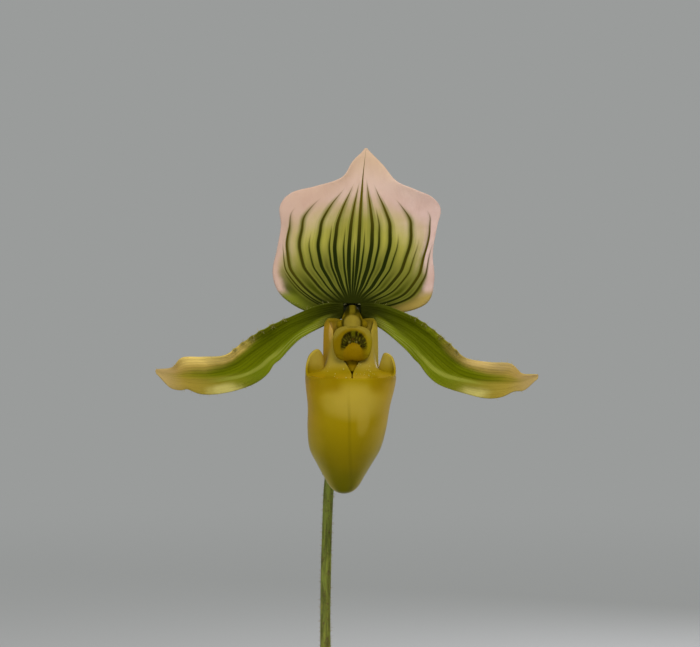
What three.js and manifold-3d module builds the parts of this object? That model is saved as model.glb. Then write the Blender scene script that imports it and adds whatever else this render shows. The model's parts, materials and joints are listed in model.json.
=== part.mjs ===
// A slipper orchid in flower, in a plain clay pot, in millimetres with +Z up. The origin is the
// middle of the pot's underside, the bloom faces -Y, and the fan of leaves spreads along X.
import * as THREE from "three";
import { mergeVertices } from "three/addons/utils/BufferGeometryUtils.js";
import Module from "manifold-3d";

const wasm = await Module();
wasm.setup();

// Driving dimensions
const GAP = 0.3; // between pieces that touch
const POT = { height: 96, foot: 41, waist: 51, bandAt: 70, band: 55, brim: 57 };
const POT_INSIDE = { floor: 6, foot: 36, brim: 51.5 };
const DRAIN = { count: 5, radius: 4.5, ring: 22 };
const BARK = { level: 84, chips: 42 };
const CROWN = { x: -4, y: 1, top: 86, radius: 10.6, depth: 13 };
const SHOOT = { x: -13, y: 31, top: 85.6, radius: 6.6, depth: 11 };
const ROOTS = { radius: 1.5, azimuths: [62, 118, 205, 262, 318] };
const BLOOM = { x: 0, y: -14, z: 300 }; // where sepals, petals and column meet
const PETAL_THICKNESS = 0.8;
const LEAF_THICKNESS = 0.8;
const SCAPE_RADIUS = 1.5;

// Finishes
const finish = (color, roughness) => new THREE.MeshStandardMaterial({ color, roughness, metalness: 0 });
const FINISH = {
  clay: finish(0xb5643c, 0.85),
  bark: finish(0x5b3a24, 0.9),
  root: finish(0x8a7350, 0.8),
  leaf: finish(0x4f7a3c, 0.45),
  stem: finish(0x66702c, 0.6),
  dorsal: finish(0xc9a48f, 0.5),
  synsepal: finish(0xa9b06a, 0.5),
  petal: finish(0x55600a, 0.45),
  pouch: finish(0x94800f, 0.35),
  column: finish(0x8f8228, 0.4),
};

const { clamp, degToRad, lerp, smoothstep } = THREE.MathUtils;
const curve = (points) => new THREE.CatmullRomCurve3(points, false, "catmullrom");

// Points of the bloom are given from its middle as [right, forward, up].
const bloomPoint = ([x, forward, up]) => new THREE.Vector3(BLOOM.x + x, BLOOM.y - forward, BLOOM.z + up);
const bloomCurve = (points) => curve(points.map(bloomPoint));

function seeded(seed) {
  let state = seed;
  return () => {
    state = (state * 1664525 + 1013904223) % 4294967296;
    return state / 4294967296;
  };
}

// A value that follows evenly spaced knots, smoothly.
function profile(knots) {
  const line = new THREE.SplineCurve(knots.map((value, i) => new THREE.Vector2(i, value)));
  return (s) => line.getPoint(clamp(s, 0, 1)).y;
}

// A closed geometry as a body that can be joined and cut.
function solid(geometry) {
  const bare = geometry.index ? geometry.toNonIndexed() : geometry.clone();
  bare.deleteAttribute("normal");
  bare.deleteAttribute("uv");
  const merged = mergeVertices(bare, 1e-3);
  const corners = merged.index.array;
  const kept = [];
  for (let i = 0; i < corners.length; i += 3) {
    const [a, b, c] = corners.slice(i, i + 3);
    if (a !== b && b !== c && a !== c) kept.push(a, b, c);
  }
  const vertProperties = new Float32Array(merged.attributes.position.array);
  const triVerts = new Uint32Array(kept);
  return new wasm.Manifold(new wasm.Mesh({ numProp: 3, vertProperties, triVerts }));
}

// The geometry of a body's largest piece, so loose scraps of a cut are dropped.
function geometryOf(body) {
  const whole = body.decompose().sort((a, b) => b.volume() - a.volume())[0];
  const { vertProperties, triVerts, numProp, numVert } = whole.getMesh();
  const points = new Float32Array(numVert * 3);
  for (let i = 0; i < numVert; i++) {
    points.set(vertProperties.subarray(i * numProp, i * numProp + 3), i * 3);
  }
  const made = new THREE.BufferGeometry();
  made.setAttribute("position", new THREE.BufferAttribute(points, 3));
  made.setIndex(new THREE.BufferAttribute(new Uint32Array(triVerts), 1));
  return made;
}

const joined = (bodies) => bodies.reduce((all, next) => all.add(next));

// A closed blade of even thickness round the surface point(s, t), with s from 0 to 1 along it and
// t from -1 to 1 across it. Both faces are split alike. A looped blade closes on itself across t,
// and may start from a pole.
function blade(point, rows, columns, thickness, looped = false) {
  const wide = looped ? columns : columns + 1;
  const at = (i, j) => i * wide + (looped ? (j + columns) % columns : j);
  const middle = [];
  for (let i = 0; i <= rows; i++) {
    for (let j = 0; j < wide; j++) middle.push(point(i / rows, (2 * j) / columns - 1));
  }
  const near = (n, most) => clamp(n, 0, most);
  const normals = [];
  for (let i = 0; i <= rows; i++) {
    for (let j = 0; j < wide; j++) {
      const along = middle[at(near(i + 1, rows), j)].clone().sub(middle[at(near(i - 1, rows), j)]);
      const ahead = looped ? j + 1 : near(j + 1, columns);
      const behind = looped ? j - 1 : near(j - 1, columns);
      const across = middle[at(i, ahead)].clone().sub(middle[at(i, behind)]);
      normals.push(along.cross(across).normalize());
    }
  }
  if (looped && middle[0].distanceTo(middle[1]) < 1e-6) {
    const pole = new THREE.Vector3();
    normals.slice(wide, 2 * wide).forEach((normal) => pole.add(normal));
    normals.fill(pole.normalize(), 0, wide);
  }
  const outer = middle.map((p, i) => p.clone().addScaledVector(normals[i], thickness / 2));
  const inner = middle.map((p, i) => p.clone().addScaledVector(normals[i], -thickness / 2));
  const count = middle.length;
  const faces = [];
  const wall = (p, q) => faces.push(q, p, p + count, q, p + count, q + count);
  for (let i = 0; i < rows; i++) {
    for (let j = 0; j < columns; j++) {
      const [a, b, c, d] = [at(i, j), at(i + 1, j), at(i + 1, j + 1), at(i, j + 1)];
      faces.push(a, b, c, a, c, d);
      faces.push(a + count, c + count, b + count, a + count, d + count, c + count);
    }
  }
  for (let j = 0; j < columns; j++) {
    wall(at(rows, j), at(rows, j + 1));
    wall(at(0, j + 1), at(0, j));
  }
  for (let i = 0; i < rows && !looped; i++) {
    wall(at(i, 0), at(i + 1, 0));
    wall(at(i + 1, columns), at(i, columns));
  }
  const made = new THREE.BufferGeometry().setFromPoints([...outer, ...inner]);
  made.setIndex(faces);
  return made;
}

// A closed stalk along a curve, whose radius may change along it and round it. Its far end may be
// trimmed short.
function stalk(path, radius, steps, sides, trim = 0) {
  const frames = path.computeFrenetFrames(steps, false);
  const points = [];
  for (let i = 0; i <= steps; i++) {
    const centre = path.getPointAt(i / steps);
    if (i === steps) centre.addScaledVector(frames.tangents[i], -trim);
    for (let j = 0; j < sides; j++) {
      const angle = (2 * Math.PI * j) / sides;
      const reach = radius(i / steps, angle);
      const point = centre.clone().addScaledVector(frames.normals[i], Math.cos(angle) * reach);
      points.push(point.addScaledVector(frames.binormals[i], Math.sin(angle) * reach));
    }
  }
  const first = points.push(path.getPointAt(0)) - 1;
  const last = points.push(path.getPointAt(1).addScaledVector(frames.tangents[steps], -trim)) - 1;
  const faces = [];
  for (let j = 0; j < sides; j++) {
    const k = (j + 1) % sides;
    for (let i = 0; i < steps; i++) {
      const [a, b, c, d] = [i * sides + j, i * sides + k, (i + 1) * sides + k, (i + 1) * sides + j];
      faces.push(a, b, c, a, c, d);
    }
    faces.push(first, k, j, last, steps * sides + j, steps * sides + k);
  }
  const made = new THREE.BufferGeometry().setFromPoints(points);
  made.setIndex(faces);
  return made;
}

// A tepal is stretched between three curves from its base to its tip: a rim either side and the
// midrib. Its section is the parabola through them, and its rims ripple to and fro.
function tepal({ rimA, midrib, rimB, ripple, waves }) {
  const [a, m, b] = [rimA, midrib, rimB].map(bloomCurve);
  return (s, t) => {
    const [pa, pm, pb] = [a, m, b].map((line) => line.getPoint(s));
    const spread = pb.clone().sub(pa).multiplyScalar(t / 2);
    const sag = pa.add(pb).multiplyScalar(0.5).sub(pm).multiplyScalar(t * t);
    const made = pm.add(spread).add(sag);
    const swell = ripple * Math.abs(t) ** 3 * Math.sin(Math.PI * s);
    made.y -= swell * Math.sin(2 * Math.PI * waves * s + (t > 0 ? 2 : 0));
    return made;
  };
}

// Dorsal sepal: broad and upright, with wavy shoulders and a drawn-out tip.
const dorsalSurface = tepal({
  rimA: [
    [-2.2, 0.75, 1.25], [-11.5, -1, -1.4], [-20.4, -2.5, 3.4], [-23.2, -2.4, 9.9],
    [-21.9, -1.3, 17.2], [-20.7, 0, 23.8], [-20.9, 1.9, 29.6], [-17.4, 4, 33.4],
    [-10.4, 5.2, 35.2], [-3, 6, 37.5], [0.1, 6.8, 42], [3.7, 7.2, 45.6],
  ],
  midrib: [
    [0, 0.75, 1.35], [0.2, 1.2, 8], [0.7, 2, 17.5], [1.5, 3.5, 27.5], [2.7, 5.5, 37], [4, 7.4, 45.9],
  ],
  rimB: [
    [2.2, 0.75, 1.25], [11.5, -1, -1.6], [21.6, -2.8, 1.2], [24, -2.5, 8],
    [23.5, -1.3, 16], [24.7, 0.7, 23.6], [25.7, 2.9, 28.6], [23.3, 4.6, 31.9],
    [18.4, 5.4, 34], [12.8, 6, 36.5], [9, 6.8, 41], [4.4, 7.2, 45.6],
  ],
  ripple: 0.8,
  waves: 2.5,
});

// Synsepal: the two lower sepals grown into one, which backs the pouch.
const synsepalSurface = tepal({
  rimA: [
    [-2.6, -0.4, -4.1], [-6.2, -2.6, -10], [-8.6, -4.4, -19],
    [-8.8, -5.6, -28], [-6, -6.6, -36], [-1.2, -7, -42.6],
  ],
  midrib: [
    [0, -0.7, -4.3], [0, -3.6, -10], [-0.3, -6, -19],
    [-0.6, -7.4, -28], [-0.8, -7.6, -36], [-0.9, -7, -43],
  ],
  rimB: [
    [2.6, -0.4, -4.1], [6.2, -2.6, -10], [8.2, -4.4, -19],
    [8, -5.6, -28], [4.8, -6.6, -36], [-0.5, -7, -42.6],
  ],
  ripple: 0.5,
  waves: 3,
});

// Petals: each droops in an S, with a warty upper rim and a paler, waved tip.
const leftPetalSurface = tepal({
  rimA: [
    [-2.5, 1.8, 1.6], [-9, 3.4, 1], [-18.5, 4.6, -2.9], [-25.8, 5.8, -6.5], [-31.6, 6.2, -10.1],
    [-36.6, 5.4, -13.7], [-43.5, 3.6, -14.2], [-49.2, 2, -14.4], [-52.3, 1.4, -17.2], [-57, 0.4, -17.8],
  ],
  midrib: [
    [-2.5, 2, -1.1], [-9, 3, -2.9], [-16.4, 3.2, -5.6], [-22.2, 3.4, -9.4], [-27.6, 3.6, -13.6],
    [-33, 3.4, -17.6], [-39.4, 2.4, -19.6], [-46.6, 1, -20], [-52.2, 0.6, -19.8], [-57.2, 0.2, -18.4],
  ],
  rimB: [
    [-2.5, 1.8, -2.9], [-8.6, 4.8, -5.4], [-14.6, 5.8, -8.6], [-18.8, 6.8, -12.6], [-22.4, 7.2, -17],
    [-27.4, 6.4, -21.4], [-34.2, 5, -23.9], [-42.8, 3.1, -25], [-52, 1.3, -23.3], [-56.9, 0.4, -19.2],
  ],
  ripple: 1.2,
  waves: 4,
});
const rightPetalSurface = tepal({
  rimA: [
    [2.5, 1.8, -2.9], [8.2, 4.8, -5.9], [13, 5.8, -9.8], [16.6, 6.8, -13.3], [20, 7.2, -17.8],
    [26, 6.4, -22.3], [32.8, 5, -24.9], [40.2, 3.2, -26.2], [49, 1.2, -24.5], [54, 0.4, -20.6],
  ],
  midrib: [
    [2.5, 2, -1.1], [8.6, 3, -2.9], [15, 3.2, -5.8], [20, 3.4, -9.4], [25, 3.6, -14],
    [30.4, 3.4, -18.4], [36.8, 2.4, -20.6], [43.6, 1, -21.2], [49, 0.6, -21.3], [54.2, 0.2, -19.8],
  ],
  rimB: [
    [2.5, 1.8, 1.6], [9, 3.4, 1], [17.4, 4.6, -2.4], [23.1, 5.8, -6], [27.9, 6.2, -10.2],
    [32.6, 5.4, -14.2], [39.6, 3.6, -15.6], [46, 2, -16.1], [49.6, 1.4, -19], [54.1, 0.4, -19.3],
  ],
  ripple: 1.2,
  waves: 4,
});

// Warts stand in a row along the inner half of each petal's upper rim.
const WARTS = { count: 6, from: 0.24, to: 0.5, radius: 0.7 };
function wartyPetal(surface, upperSide) {
  const bumps = [];
  for (let i = 0; i < WARTS.count; i++) {
    const s = lerp(WARTS.from, WARTS.to, i / (WARTS.count - 1));
    const bump = new THREE.OctahedronGeometry(WARTS.radius * (i % 2 ? 1 : 0.8));
    const { x, y, z } = surface(s, upperSide * 0.98);
    bumps.push(solid(bump.rotateY(i).translate(x, y, z)));
  }
  return geometryOf(joined([solid(blade(surface, 24, 6, PETAL_THICKNESS)), ...bumps]));
}

// Pouch: a slipper whose level loops change from an oval at the toe to a keyhole at the brim, where
// two ears stand up and the back runs on as a channel to the column.
const POUCH = { toe: -52.6, brim: -20, thickness: 0.9, rows: 11, around: 36 };
const TOE_TO_BRIM = {
  width: profile([0, 2.1, 3.8, 5.3, 7.3, 9.7, 10.8, 11.2, 12.3]),
  front: profile([0, 2.3, 3.8, 5.5, 7.8, 10, 11.6, 12.2, 11.5]),
  back: profile([0, 2.3, 3.8, 5.3, 7, 8.8, 10.2, 10.8, 10.3]),
  middle: profile([11, 11, 11.2, 11.5, 12, 12.6, 13, 13, 12.5]),
  shift: profile([-2.3, -2.3, -2.3, -2.3, -2.2, -2, -1.5, -0.9, -0.4]),
};
const FRONT_TO_BACK = {
  edge: profile([-19.8, -19.8, -19.7, -19.5, -19, -17, -13.7, -12.4, -15.3, -17.2, -4.8, -3, -4.4]),
  lean: profile([0, 0, 0, 0, 0, 0, 0.2, 0.6, 1.7, 0, 0, 0, 0]),
  side: profile([0, 0.35, 0.66, 0.86, 0.98, 1.02, 0.95, 0.78, 0.66, 0.61, 0.6, 0.4, 0]),
  ahead: profile([1, 0.95, 0.82, 0.61, 0.34, 0.1, -0.1, -0.24, -0.33, -0.45, -0.6, -0.7, -1]),
};
// The left ear stands a little higher than the right one.
const brimAt = (t) => FRONT_TO_BACK.edge(Math.abs(t)) - Math.sign(t) * FRONT_TO_BACK.lean(Math.abs(t));
function pouchSurface(s, t) {
  const round = Math.abs(t);
  const up = lerp(POUCH.toe, brimAt(t), s ** 1.5);
  const level = Math.sqrt(clamp((up - POUCH.toe) / (POUCH.brim - POUCH.toe), 0, 1));
  const keyhole = smoothstep(level, 0.6, 1);
  const side = lerp(Math.sin(round * Math.PI), FRONT_TO_BACK.side(round), keyhole);
  const ahead = lerp(Math.cos(round * Math.PI), FRONT_TO_BACK.ahead(round), keyhole);
  const depth = ahead > 0 ? TOE_TO_BRIM.front(level) : TOE_TO_BRIM.back(level);
  const right = TOE_TO_BRIM.shift(level) + Math.sign(t) * side * TOE_TO_BRIM.width(level);
  return bloomPoint([right, TOE_TO_BRIM.middle(level) + ahead * depth, up]);
}

// Its rim turns in between the ears and the channel, as a lobe either side of the throat. The lobe
// leaves the channel at its rim and passes low behind the ear.
const LOBE = { from: 0.86, to: 0.42, below: 0.4, shelf: -17.9, fall: 1.2, channel: [0.75, 0.83] };
const THROAT = [[5.6, 8.4, -6.6], [4.5, 10, -11.7], [1.3, 12.8, -16.1], [0.4, 15.4, -20.8]];
function lobeSurface(side) {
  const inner = bloomCurve(THROAT.map(([x, forward, up]) => [side * x, forward, up]));
  return (s, t) => {
    const round = lerp(LOBE.from, LOBE.to, s ** 0.8);
    const edge = brimAt(side * round);
    const rim = edge - LOBE.below;
    const low = Math.min(rim, LOBE.shelf - LOBE.fall * s);
    const up = lerp(low, rim, smoothstep(round, ...LOBE.channel));
    const outer = pouchSurface(((up - POUCH.toe) / (edge - POUCH.toe)) ** (2 / 3), side * round);
    const made = outer.lerp(inner.getPoint(s), (t + 1) / 2);
    made.z += (0.9 - 1.6 * s) * (1 - t * t);
    return made;
  };
}
const pouch = geometryOf(joined([
  solid(blade(pouchSurface, POUCH.rows, POUCH.around, POUCH.thickness, true)),
  solid(blade(lobeSurface(-1), 8, 4, 0.7)),
  solid(blade(lobeSurface(1), 8, 4, 0.7)),
]));

// Column: short and stout, it widens and bends forward into a shield, with an anther either side
// behind it and the paddle of the stigma below.
const columnPath = bloomCurve([[0, 0.75, -1.2], [0, 3.5, -1.4], [0, 7.5, -3.2], [0, 11, -6.8]]);
const columnRadius = profile([2.1, 2.1, 2.6, 3.2, 2.2]);
const SHIELD = { x: 0.1, up: -10.4, width: 5.5, height: 5.1, thickness: 1.2 };
const shieldReach = profile([0.97, 1.06, 1.14, 1.06, 1, 1.02, 1.08, 1, 0.74]);
function shieldSurface(s, t) {
  const reach = s * lerp(1, shieldReach(Math.abs(t)), s);
  const x = Math.sin(t * Math.PI) * reach;
  const up = Math.cos(t * Math.PI) * reach;
  const forward = 13.2 - 1.1 * up - 1.1 * x * x - 0.7 * up * up;
  return bloomPoint([SHIELD.x + SHIELD.width * x, forward, SHIELD.up + SHIELD.height * up]);
}
const stigmaPath = bloomCurve([[0, 8.4, -4], [0, 9, -9], [0, 10, -14], [0, 11.8, -19.2]]);
const stigmaWidth = profile([1.4, 2.1, 2.7, 2.5, 1.2]);
function stigmaSurface(s, t) {
  const point = stigmaPath.getPoint(s);
  point.x += t * stigmaWidth(s);
  point.y += 0.7 * t * t;
  return point;
}
const ANTHER = { right: 3.2, forward: 8, up: -5, radius: 1.5 };
const anther = (side) => {
  const { x, y, z } = bloomPoint([side * ANTHER.right, ANTHER.forward, ANTHER.up]);
  return solid(new THREE.SphereGeometry(ANTHER.radius, 8, 5).translate(x, y, z));
};
const column = geometryOf(joined([
  solid(stalk(columnPath, columnRadius, 7, 12)),
  solid(blade(shieldSurface, 4, 20, SHIELD.thickness, true)),
  solid(blade(stigmaSurface, 6, 4, 1.2)),
  anther(-1),
  anther(1),
]));

// Ovary: six-ribbed, arching down from behind the bloom to the top of the scape.
const ovaryPath = bloomCurve([
  [0, 0, -0.7], [0, -6.5, -1.3], [-0.6, -13.5, -6.6],
  [-2.2, -17.8, -18], [-4.2, -19.5, -32], [-5.9, -20, -46],
]);
const ovaryRadius = profile([3.2, 2.5, 2.7, 2.8, 2.6, 2.1, 1.65]);
const ovary = stalk(ovaryPath, (s, angle) => ovaryRadius(s) * (1 + 0.06 * Math.cos(6 * angle)), 16, 12);

// Bract: a small sheath round the foot of the ovary, open at the front.
const bractAxis = bloomCurve([
  [-6.2, -20, -50], [-5.4, -20.2, -42], [-4.4, -20.9, -32], [-3.1, -22.8, -22],
]);
const bractRadius = profile([2.5, 2.8, 3.3, 3.2]);
const bractAngle = profile([2.5, 1.9, 1.2, 0.15]);
function bractSurface(s, t) {
  const angle = t * bractAngle(s);
  const point = bractAxis.getPoint(s);
  point.x += Math.sin(angle) * bractRadius(s);
  point.y += Math.cos(angle) * bractRadius(s);
  return point;
}

// Scape: the flower stem, rising from the middle of the fan.
const scapePath = bloomCurve([
  [-6.1, -20, -46.4], [-7.3, -19.6, -60], [-8, -18.2, -100],
  [-6.6, -16.4, -150], [-4.6, -15.2, -188], [-4, -15, -213.5],
]);
const scape = stalk(scapePath, (s) => SCAPE_RADIUS * lerp(1, 1.12, s), 18, 10);

// Leaves clasp the crown in turn either side, then lean out, droop, and end in a blunt point.
// Each row: azimuth, sheath radius, length, half width, height of the sheath, lean, lean at the tip.
const FAN = [
  [14, 9.5, 172, 20.5, 3, 64, 112],
  [196, 8.4, 164, 20.5, 6, 58, 104],
  [11, 7.3, 150, 19.5, 11, 49, 92],
  [193, 6.2, 138, 18.5, 16, 42, 82],
  [15, 5.1, 112, 16, 23, 29, 58],
  [196, 4, 86, 12.5, 30, 19, 40],
];
const YOUNG = [
  [146, 5.4, 92, 13, 3, 56, 98],
  [328, 4.3, 50, 9.5, 7, 14, 30],
  [150, 3.2, 56, 8.5, 12, 22, 40],
];
function leafSurface(growth, [azimuth, sheath, length, width, height, lean, tipLean]) {
  const turn = degToRad(azimuth);
  const out = new THREE.Vector3(Math.cos(turn), Math.sin(turn), 0);
  const side = new THREE.Vector3(-Math.sin(turn), Math.cos(turn), 0);
  const parting = height / length;
  const slope = (s) => {
    const opened = smoothstep(s, parting * 0.6, parting + 0.2);
    return degToRad(lean * opened + (tipLean - lean) * smoothstep(s, 0.3, 1));
  };
  const steps = 80;
  const foot = new THREE.Vector3(growth.x, growth.y, growth.top + GAP);
  const spine = [foot.addScaledVector(out, sheath)];
  for (let i = 0; i < steps; i++) {
    const angle = slope((i + 0.5) / steps);
    const step = out.clone().multiplyScalar(Math.sin(angle)).setZ(Math.cos(angle));
    spine.push(spine[i].clone().addScaledVector(step, length / steps));
  }
  const line = curve(spine);
  return (s, t) => {
    const open = smoothstep(s, parting, parting + 0.28);
    const taper = s > 0.55 ? (1 - ((s - 0.55) / 0.45) ** 2.3) ** 0.7 : 1;
    const broad = lerp(sheath * 1.45, width, smoothstep(s, parting * 0.9, 0.5));
    const half = Math.max(broad * taper, 0.7);
    const curl = Math.max(lerp(sheath, 60, open ** 2.5), half / 1.45);
    const arc = (t * half) / curl;
    const face = out.clone().multiplyScalar(-Math.cos(slope(s))).setZ(Math.sin(slope(s)));
    const fold = open * (1.6 * Math.abs(t) + 0.5 * t * Math.sin(9 * s + azimuth));
    const point = line.getPoint(s).addScaledVector(side, curl * Math.sin(arc));
    return point.addScaledVector(face, curl * (1 - Math.cos(arc)) + fold);
  };
}

const turned = (outline, segments) => {
  const points = outline.map(([reach, z]) => new THREE.Vector2(reach, z));
  return new THREE.LatheGeometry(points, segments).rotateX(Math.PI / 2);
};

// Rhizome: two crowns joined under the bark, with roots that run over it and dive in. The hole
// that it stands in is the same body made larger by a margin.
function rhizomeBody(margin) {
  const crown = ({ x, y, top, radius, depth }) => {
    const wide = radius + margin;
    const outline = [
      [0, -depth - margin], [wide * 0.45, -depth - margin], [wide * 0.85, -depth * 0.6 - margin],
      [wide, -depth * 0.25], [wide * 0.97, margin - 1], [wide * 0.9, margin], [0, margin],
    ];
    return solid(turned(outline, 16).translate(x, y, top));
  };
  const tube = (points, radius, steps) => (
    solid(stalk(curve(points), () => radius + margin, steps, 6, GAP - margin))
  );
  const at = (growth, azimuth, reach, z) => {
    const turn = degToRad(azimuth);
    return new THREE.Vector3(growth.x + Math.cos(turn) * reach, growth.y + Math.sin(turn) * reach, z);
  };
  const roots = ROOTS.azimuths.map((azimuth, i) => {
    const swerve = i % 2 ? 5 : -5;
    const route = [[7, 81], [12, 84.5], [17, 85.2 - (i % 2)], [22, 81], [25, 72], [26, 60]];
    const points = route.map(([reach, z], k) => at(CROWN, azimuth + swerve * k, reach, z));
    return tube(points, ROOTS.radius, 8);
  });
  const link = tube([at(CROWN, 90, 2, 77), at(SHOOT, 290, 14, 75.5), at(SHOOT, 290, 1, 78)], 4, 3);
  return joined([crown(CROWN), crown(SHOOT), link, ...roots]);
}

// Pot: thrown clay with a thick band below the brim and drain holes round a solid middle.
const SEGMENTS = 44;
const potOutline = [
  [0, 0], [POT.foot - 1.5, 0], [POT.foot, 1.5], [POT.waist, POT.bandAt - 1],
  [POT.band - 0.8, POT.bandAt], [POT.band, POT.bandAt + 1.2], [POT.brim, POT.height - 2],
  [POT.brim - 1.6, POT.height], [POT_INSIDE.brim + 1.4, POT.height],
  [POT_INSIDE.brim, POT.height - 1.6], [POT_INSIDE.foot + 1.5, POT_INSIDE.floor + 1.5],
  [POT_INSIDE.foot, POT_INSIDE.floor], [0, POT_INSIDE.floor],
];
function potBody() {
  const drains = [];
  for (let i = 0; i < DRAIN.count; i++) {
    const turn = (2 * Math.PI * i) / DRAIN.count;
    const drill = new THREE.CylinderGeometry(DRAIN.radius, DRAIN.radius, 30, 14).rotateX(Math.PI / 2);
    drains.push(solid(drill.translate(DRAIN.ring * Math.cos(turn), DRAIN.ring * Math.sin(turn), 0)));
  }
  return solid(turned(potOutline, SEGMENTS)).subtract(joined(drains));
}

// Bark: the pot filled with coarse chips, level but rough on top, with a well for each crown.
const GOLDEN_ANGLE = 2.39996;
function barkFill(top) {
  const [low, high] = [POT_INSIDE.floor + 1.5, POT.height - 1.6];
  const wall = (z) => lerp(POT_INSIDE.foot + 1.5, POT_INSIDE.brim, (z - low) / (high - low)) - GAP;
  const bottom = POT_INSIDE.floor + GAP;
  const foot = POT_INSIDE.foot - 0.8;
  const outline = [[0, bottom], [foot, bottom], [wall(low + 1.5), low + 1.5], [wall(top), top], [0, top]];
  return solid(turned(outline, SEGMENTS));
}

function barkBody() {
  const random = seeded(41);
  const chips = [];
  for (let i = 0; i < BARK.chips; i++) {
    const chip = new THREE.BoxGeometry(11 + 10 * random(), 8 + 6 * random(), 3 + 2.5 * random());
    const corners = chip.attributes.position;
    for (let k = 0; k < corners.count; k++) {
      const [x, y, z] = [corners.getX(k), corners.getY(k), corners.getZ(k)];
      const slant = 0.6 * Math.sign(x) + Math.sign(y * z);
      corners.setXYZ(k, x + slant, y + Math.sign(x) * (i % 3), z + 0.5 * Math.sign(x * y));
    }
    chip.rotateX((random() - 0.5) * 0.9).rotateY((random() - 0.5) * 0.9).rotateZ(random() * Math.PI);
    const reach = (POT_INSIDE.brim - 2.5) * Math.sqrt((i + 0.5) / BARK.chips);
    const turn = i * GOLDEN_ANGLE + random() * 0.4;
    const [x, y] = [reach * Math.cos(turn), reach * Math.sin(turn)];
    const beside = [CROWN, SHOOT].some((crown) => Math.hypot(x - crown.x, y - crown.y) < crown.radius + 4);
    const sunk = beside ? 1.8 : 0.6 - 1.6 * random();
    chips.push(solid(chip.translate(x, y, BARK.level - sunk)));
  }
  const wells = [CROWN, SHOOT].map(({ x, y, top, radius }) => {
    const well = new THREE.CylinderGeometry(radius + GAP, radius + GAP, 20, 20).rotateX(Math.PI / 2);
    return solid(well.translate(x, y, top + 9));
  });
  const rough = barkFill(BARK.level).add(joined(chips)).intersect(barkFill(POT.height - 2));
  return rough.subtract(rhizomeBody(GAP)).subtract(joined(wells));
}

const parts = [
  ["pot", geometryOf(potBody()), FINISH.clay],
  ["bark", geometryOf(barkBody()), FINISH.bark],
  ["rhizome", geometryOf(rhizomeBody(0)), FINISH.root],
  ["scape", scape, FINISH.stem],
  ["bract", blade(bractSurface, 10, 8, 0.7), FINISH.stem],
  ["ovary", ovary, FINISH.stem],
  ["synsepal", blade(synsepalSurface, 12, 6, PETAL_THICKNESS), FINISH.synsepal],
  ["dorsal_sepal", blade(dorsalSurface, 22, 12, PETAL_THICKNESS), FINISH.dorsal],
  ["petal_left", wartyPetal(leftPetalSurface, -1), FINISH.petal],
  ["petal_right", wartyPetal(rightPetalSurface, 1), FINISH.petal],
  ["pouch", pouch, FINISH.pouch],
  ["column", column, FINISH.column],
];
FAN.forEach((leaf, i) => {
  parts.push([`leaf_${i + 1}`, blade(leafSurface(CROWN, leaf), 18, 4, LEAF_THICKNESS), FINISH.leaf]);
});
YOUNG.forEach((leaf, i) => {
  parts.push([`young_leaf_${i + 1}`, blade(leafSurface(SHOOT, leaf), 15, 4, LEAF_THICKNESS), FINISH.leaf]);
});

const plant = new THREE.Group();
for (const [name, geometry, look] of parts) {
  geometry.computeVertexNormals();
  const mesh = new THREE.Mesh(geometry, look.clone());
  mesh.name = name;
  plant.add(mesh);
}

export default plant;
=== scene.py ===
import json
import math

import bmesh
import bpy
import numpy as np
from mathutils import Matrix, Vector

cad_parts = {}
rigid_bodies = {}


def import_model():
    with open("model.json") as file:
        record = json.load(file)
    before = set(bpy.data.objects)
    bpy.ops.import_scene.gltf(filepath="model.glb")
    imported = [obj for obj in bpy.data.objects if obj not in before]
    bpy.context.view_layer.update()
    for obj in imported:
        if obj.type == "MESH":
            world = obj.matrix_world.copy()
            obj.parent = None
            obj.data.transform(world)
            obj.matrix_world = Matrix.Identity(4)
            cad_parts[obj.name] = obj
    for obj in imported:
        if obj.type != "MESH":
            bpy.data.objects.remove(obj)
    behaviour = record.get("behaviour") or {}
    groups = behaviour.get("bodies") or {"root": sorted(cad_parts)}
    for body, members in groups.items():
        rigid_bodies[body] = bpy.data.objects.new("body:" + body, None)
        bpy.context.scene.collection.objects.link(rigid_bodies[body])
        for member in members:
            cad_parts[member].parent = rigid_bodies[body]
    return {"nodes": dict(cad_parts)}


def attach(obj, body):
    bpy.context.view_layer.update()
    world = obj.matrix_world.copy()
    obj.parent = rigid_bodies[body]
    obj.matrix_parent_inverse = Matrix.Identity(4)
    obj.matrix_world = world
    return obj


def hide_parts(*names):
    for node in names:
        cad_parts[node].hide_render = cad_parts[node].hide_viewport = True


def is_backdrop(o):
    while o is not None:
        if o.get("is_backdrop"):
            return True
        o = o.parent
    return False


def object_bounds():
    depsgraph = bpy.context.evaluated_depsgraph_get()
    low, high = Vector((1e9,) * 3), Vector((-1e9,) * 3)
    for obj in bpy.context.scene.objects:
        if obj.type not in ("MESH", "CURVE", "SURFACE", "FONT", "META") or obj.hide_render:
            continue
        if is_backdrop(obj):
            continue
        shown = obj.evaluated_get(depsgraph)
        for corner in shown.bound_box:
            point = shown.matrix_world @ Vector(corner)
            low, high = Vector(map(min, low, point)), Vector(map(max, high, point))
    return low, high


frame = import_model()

cad_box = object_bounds()
scene = bpy.context.scene
scene.view_settings.view_transform = "Standard"


# Studio. A pale floor fades into an even pale grey backdrop. A wide soft light hangs above and in
# front of the bloom, with weaker ones low on the other side and behind. The camera stands level
# with the bloom and square to it.
def tint(code, strength=1.0):
    """A colour written as six hex digits, as the linear values that sockets take."""
    parts = [int(code[i:i + 2], 16) / 255 for i in (0, 2, 4)]
    linear = [c / 12.92 if c <= 0.04045 else ((c + 0.055) / 1.055) ** 2.4 for c in parts]
    return (*[c * strength for c in linear], 1.0)


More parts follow.
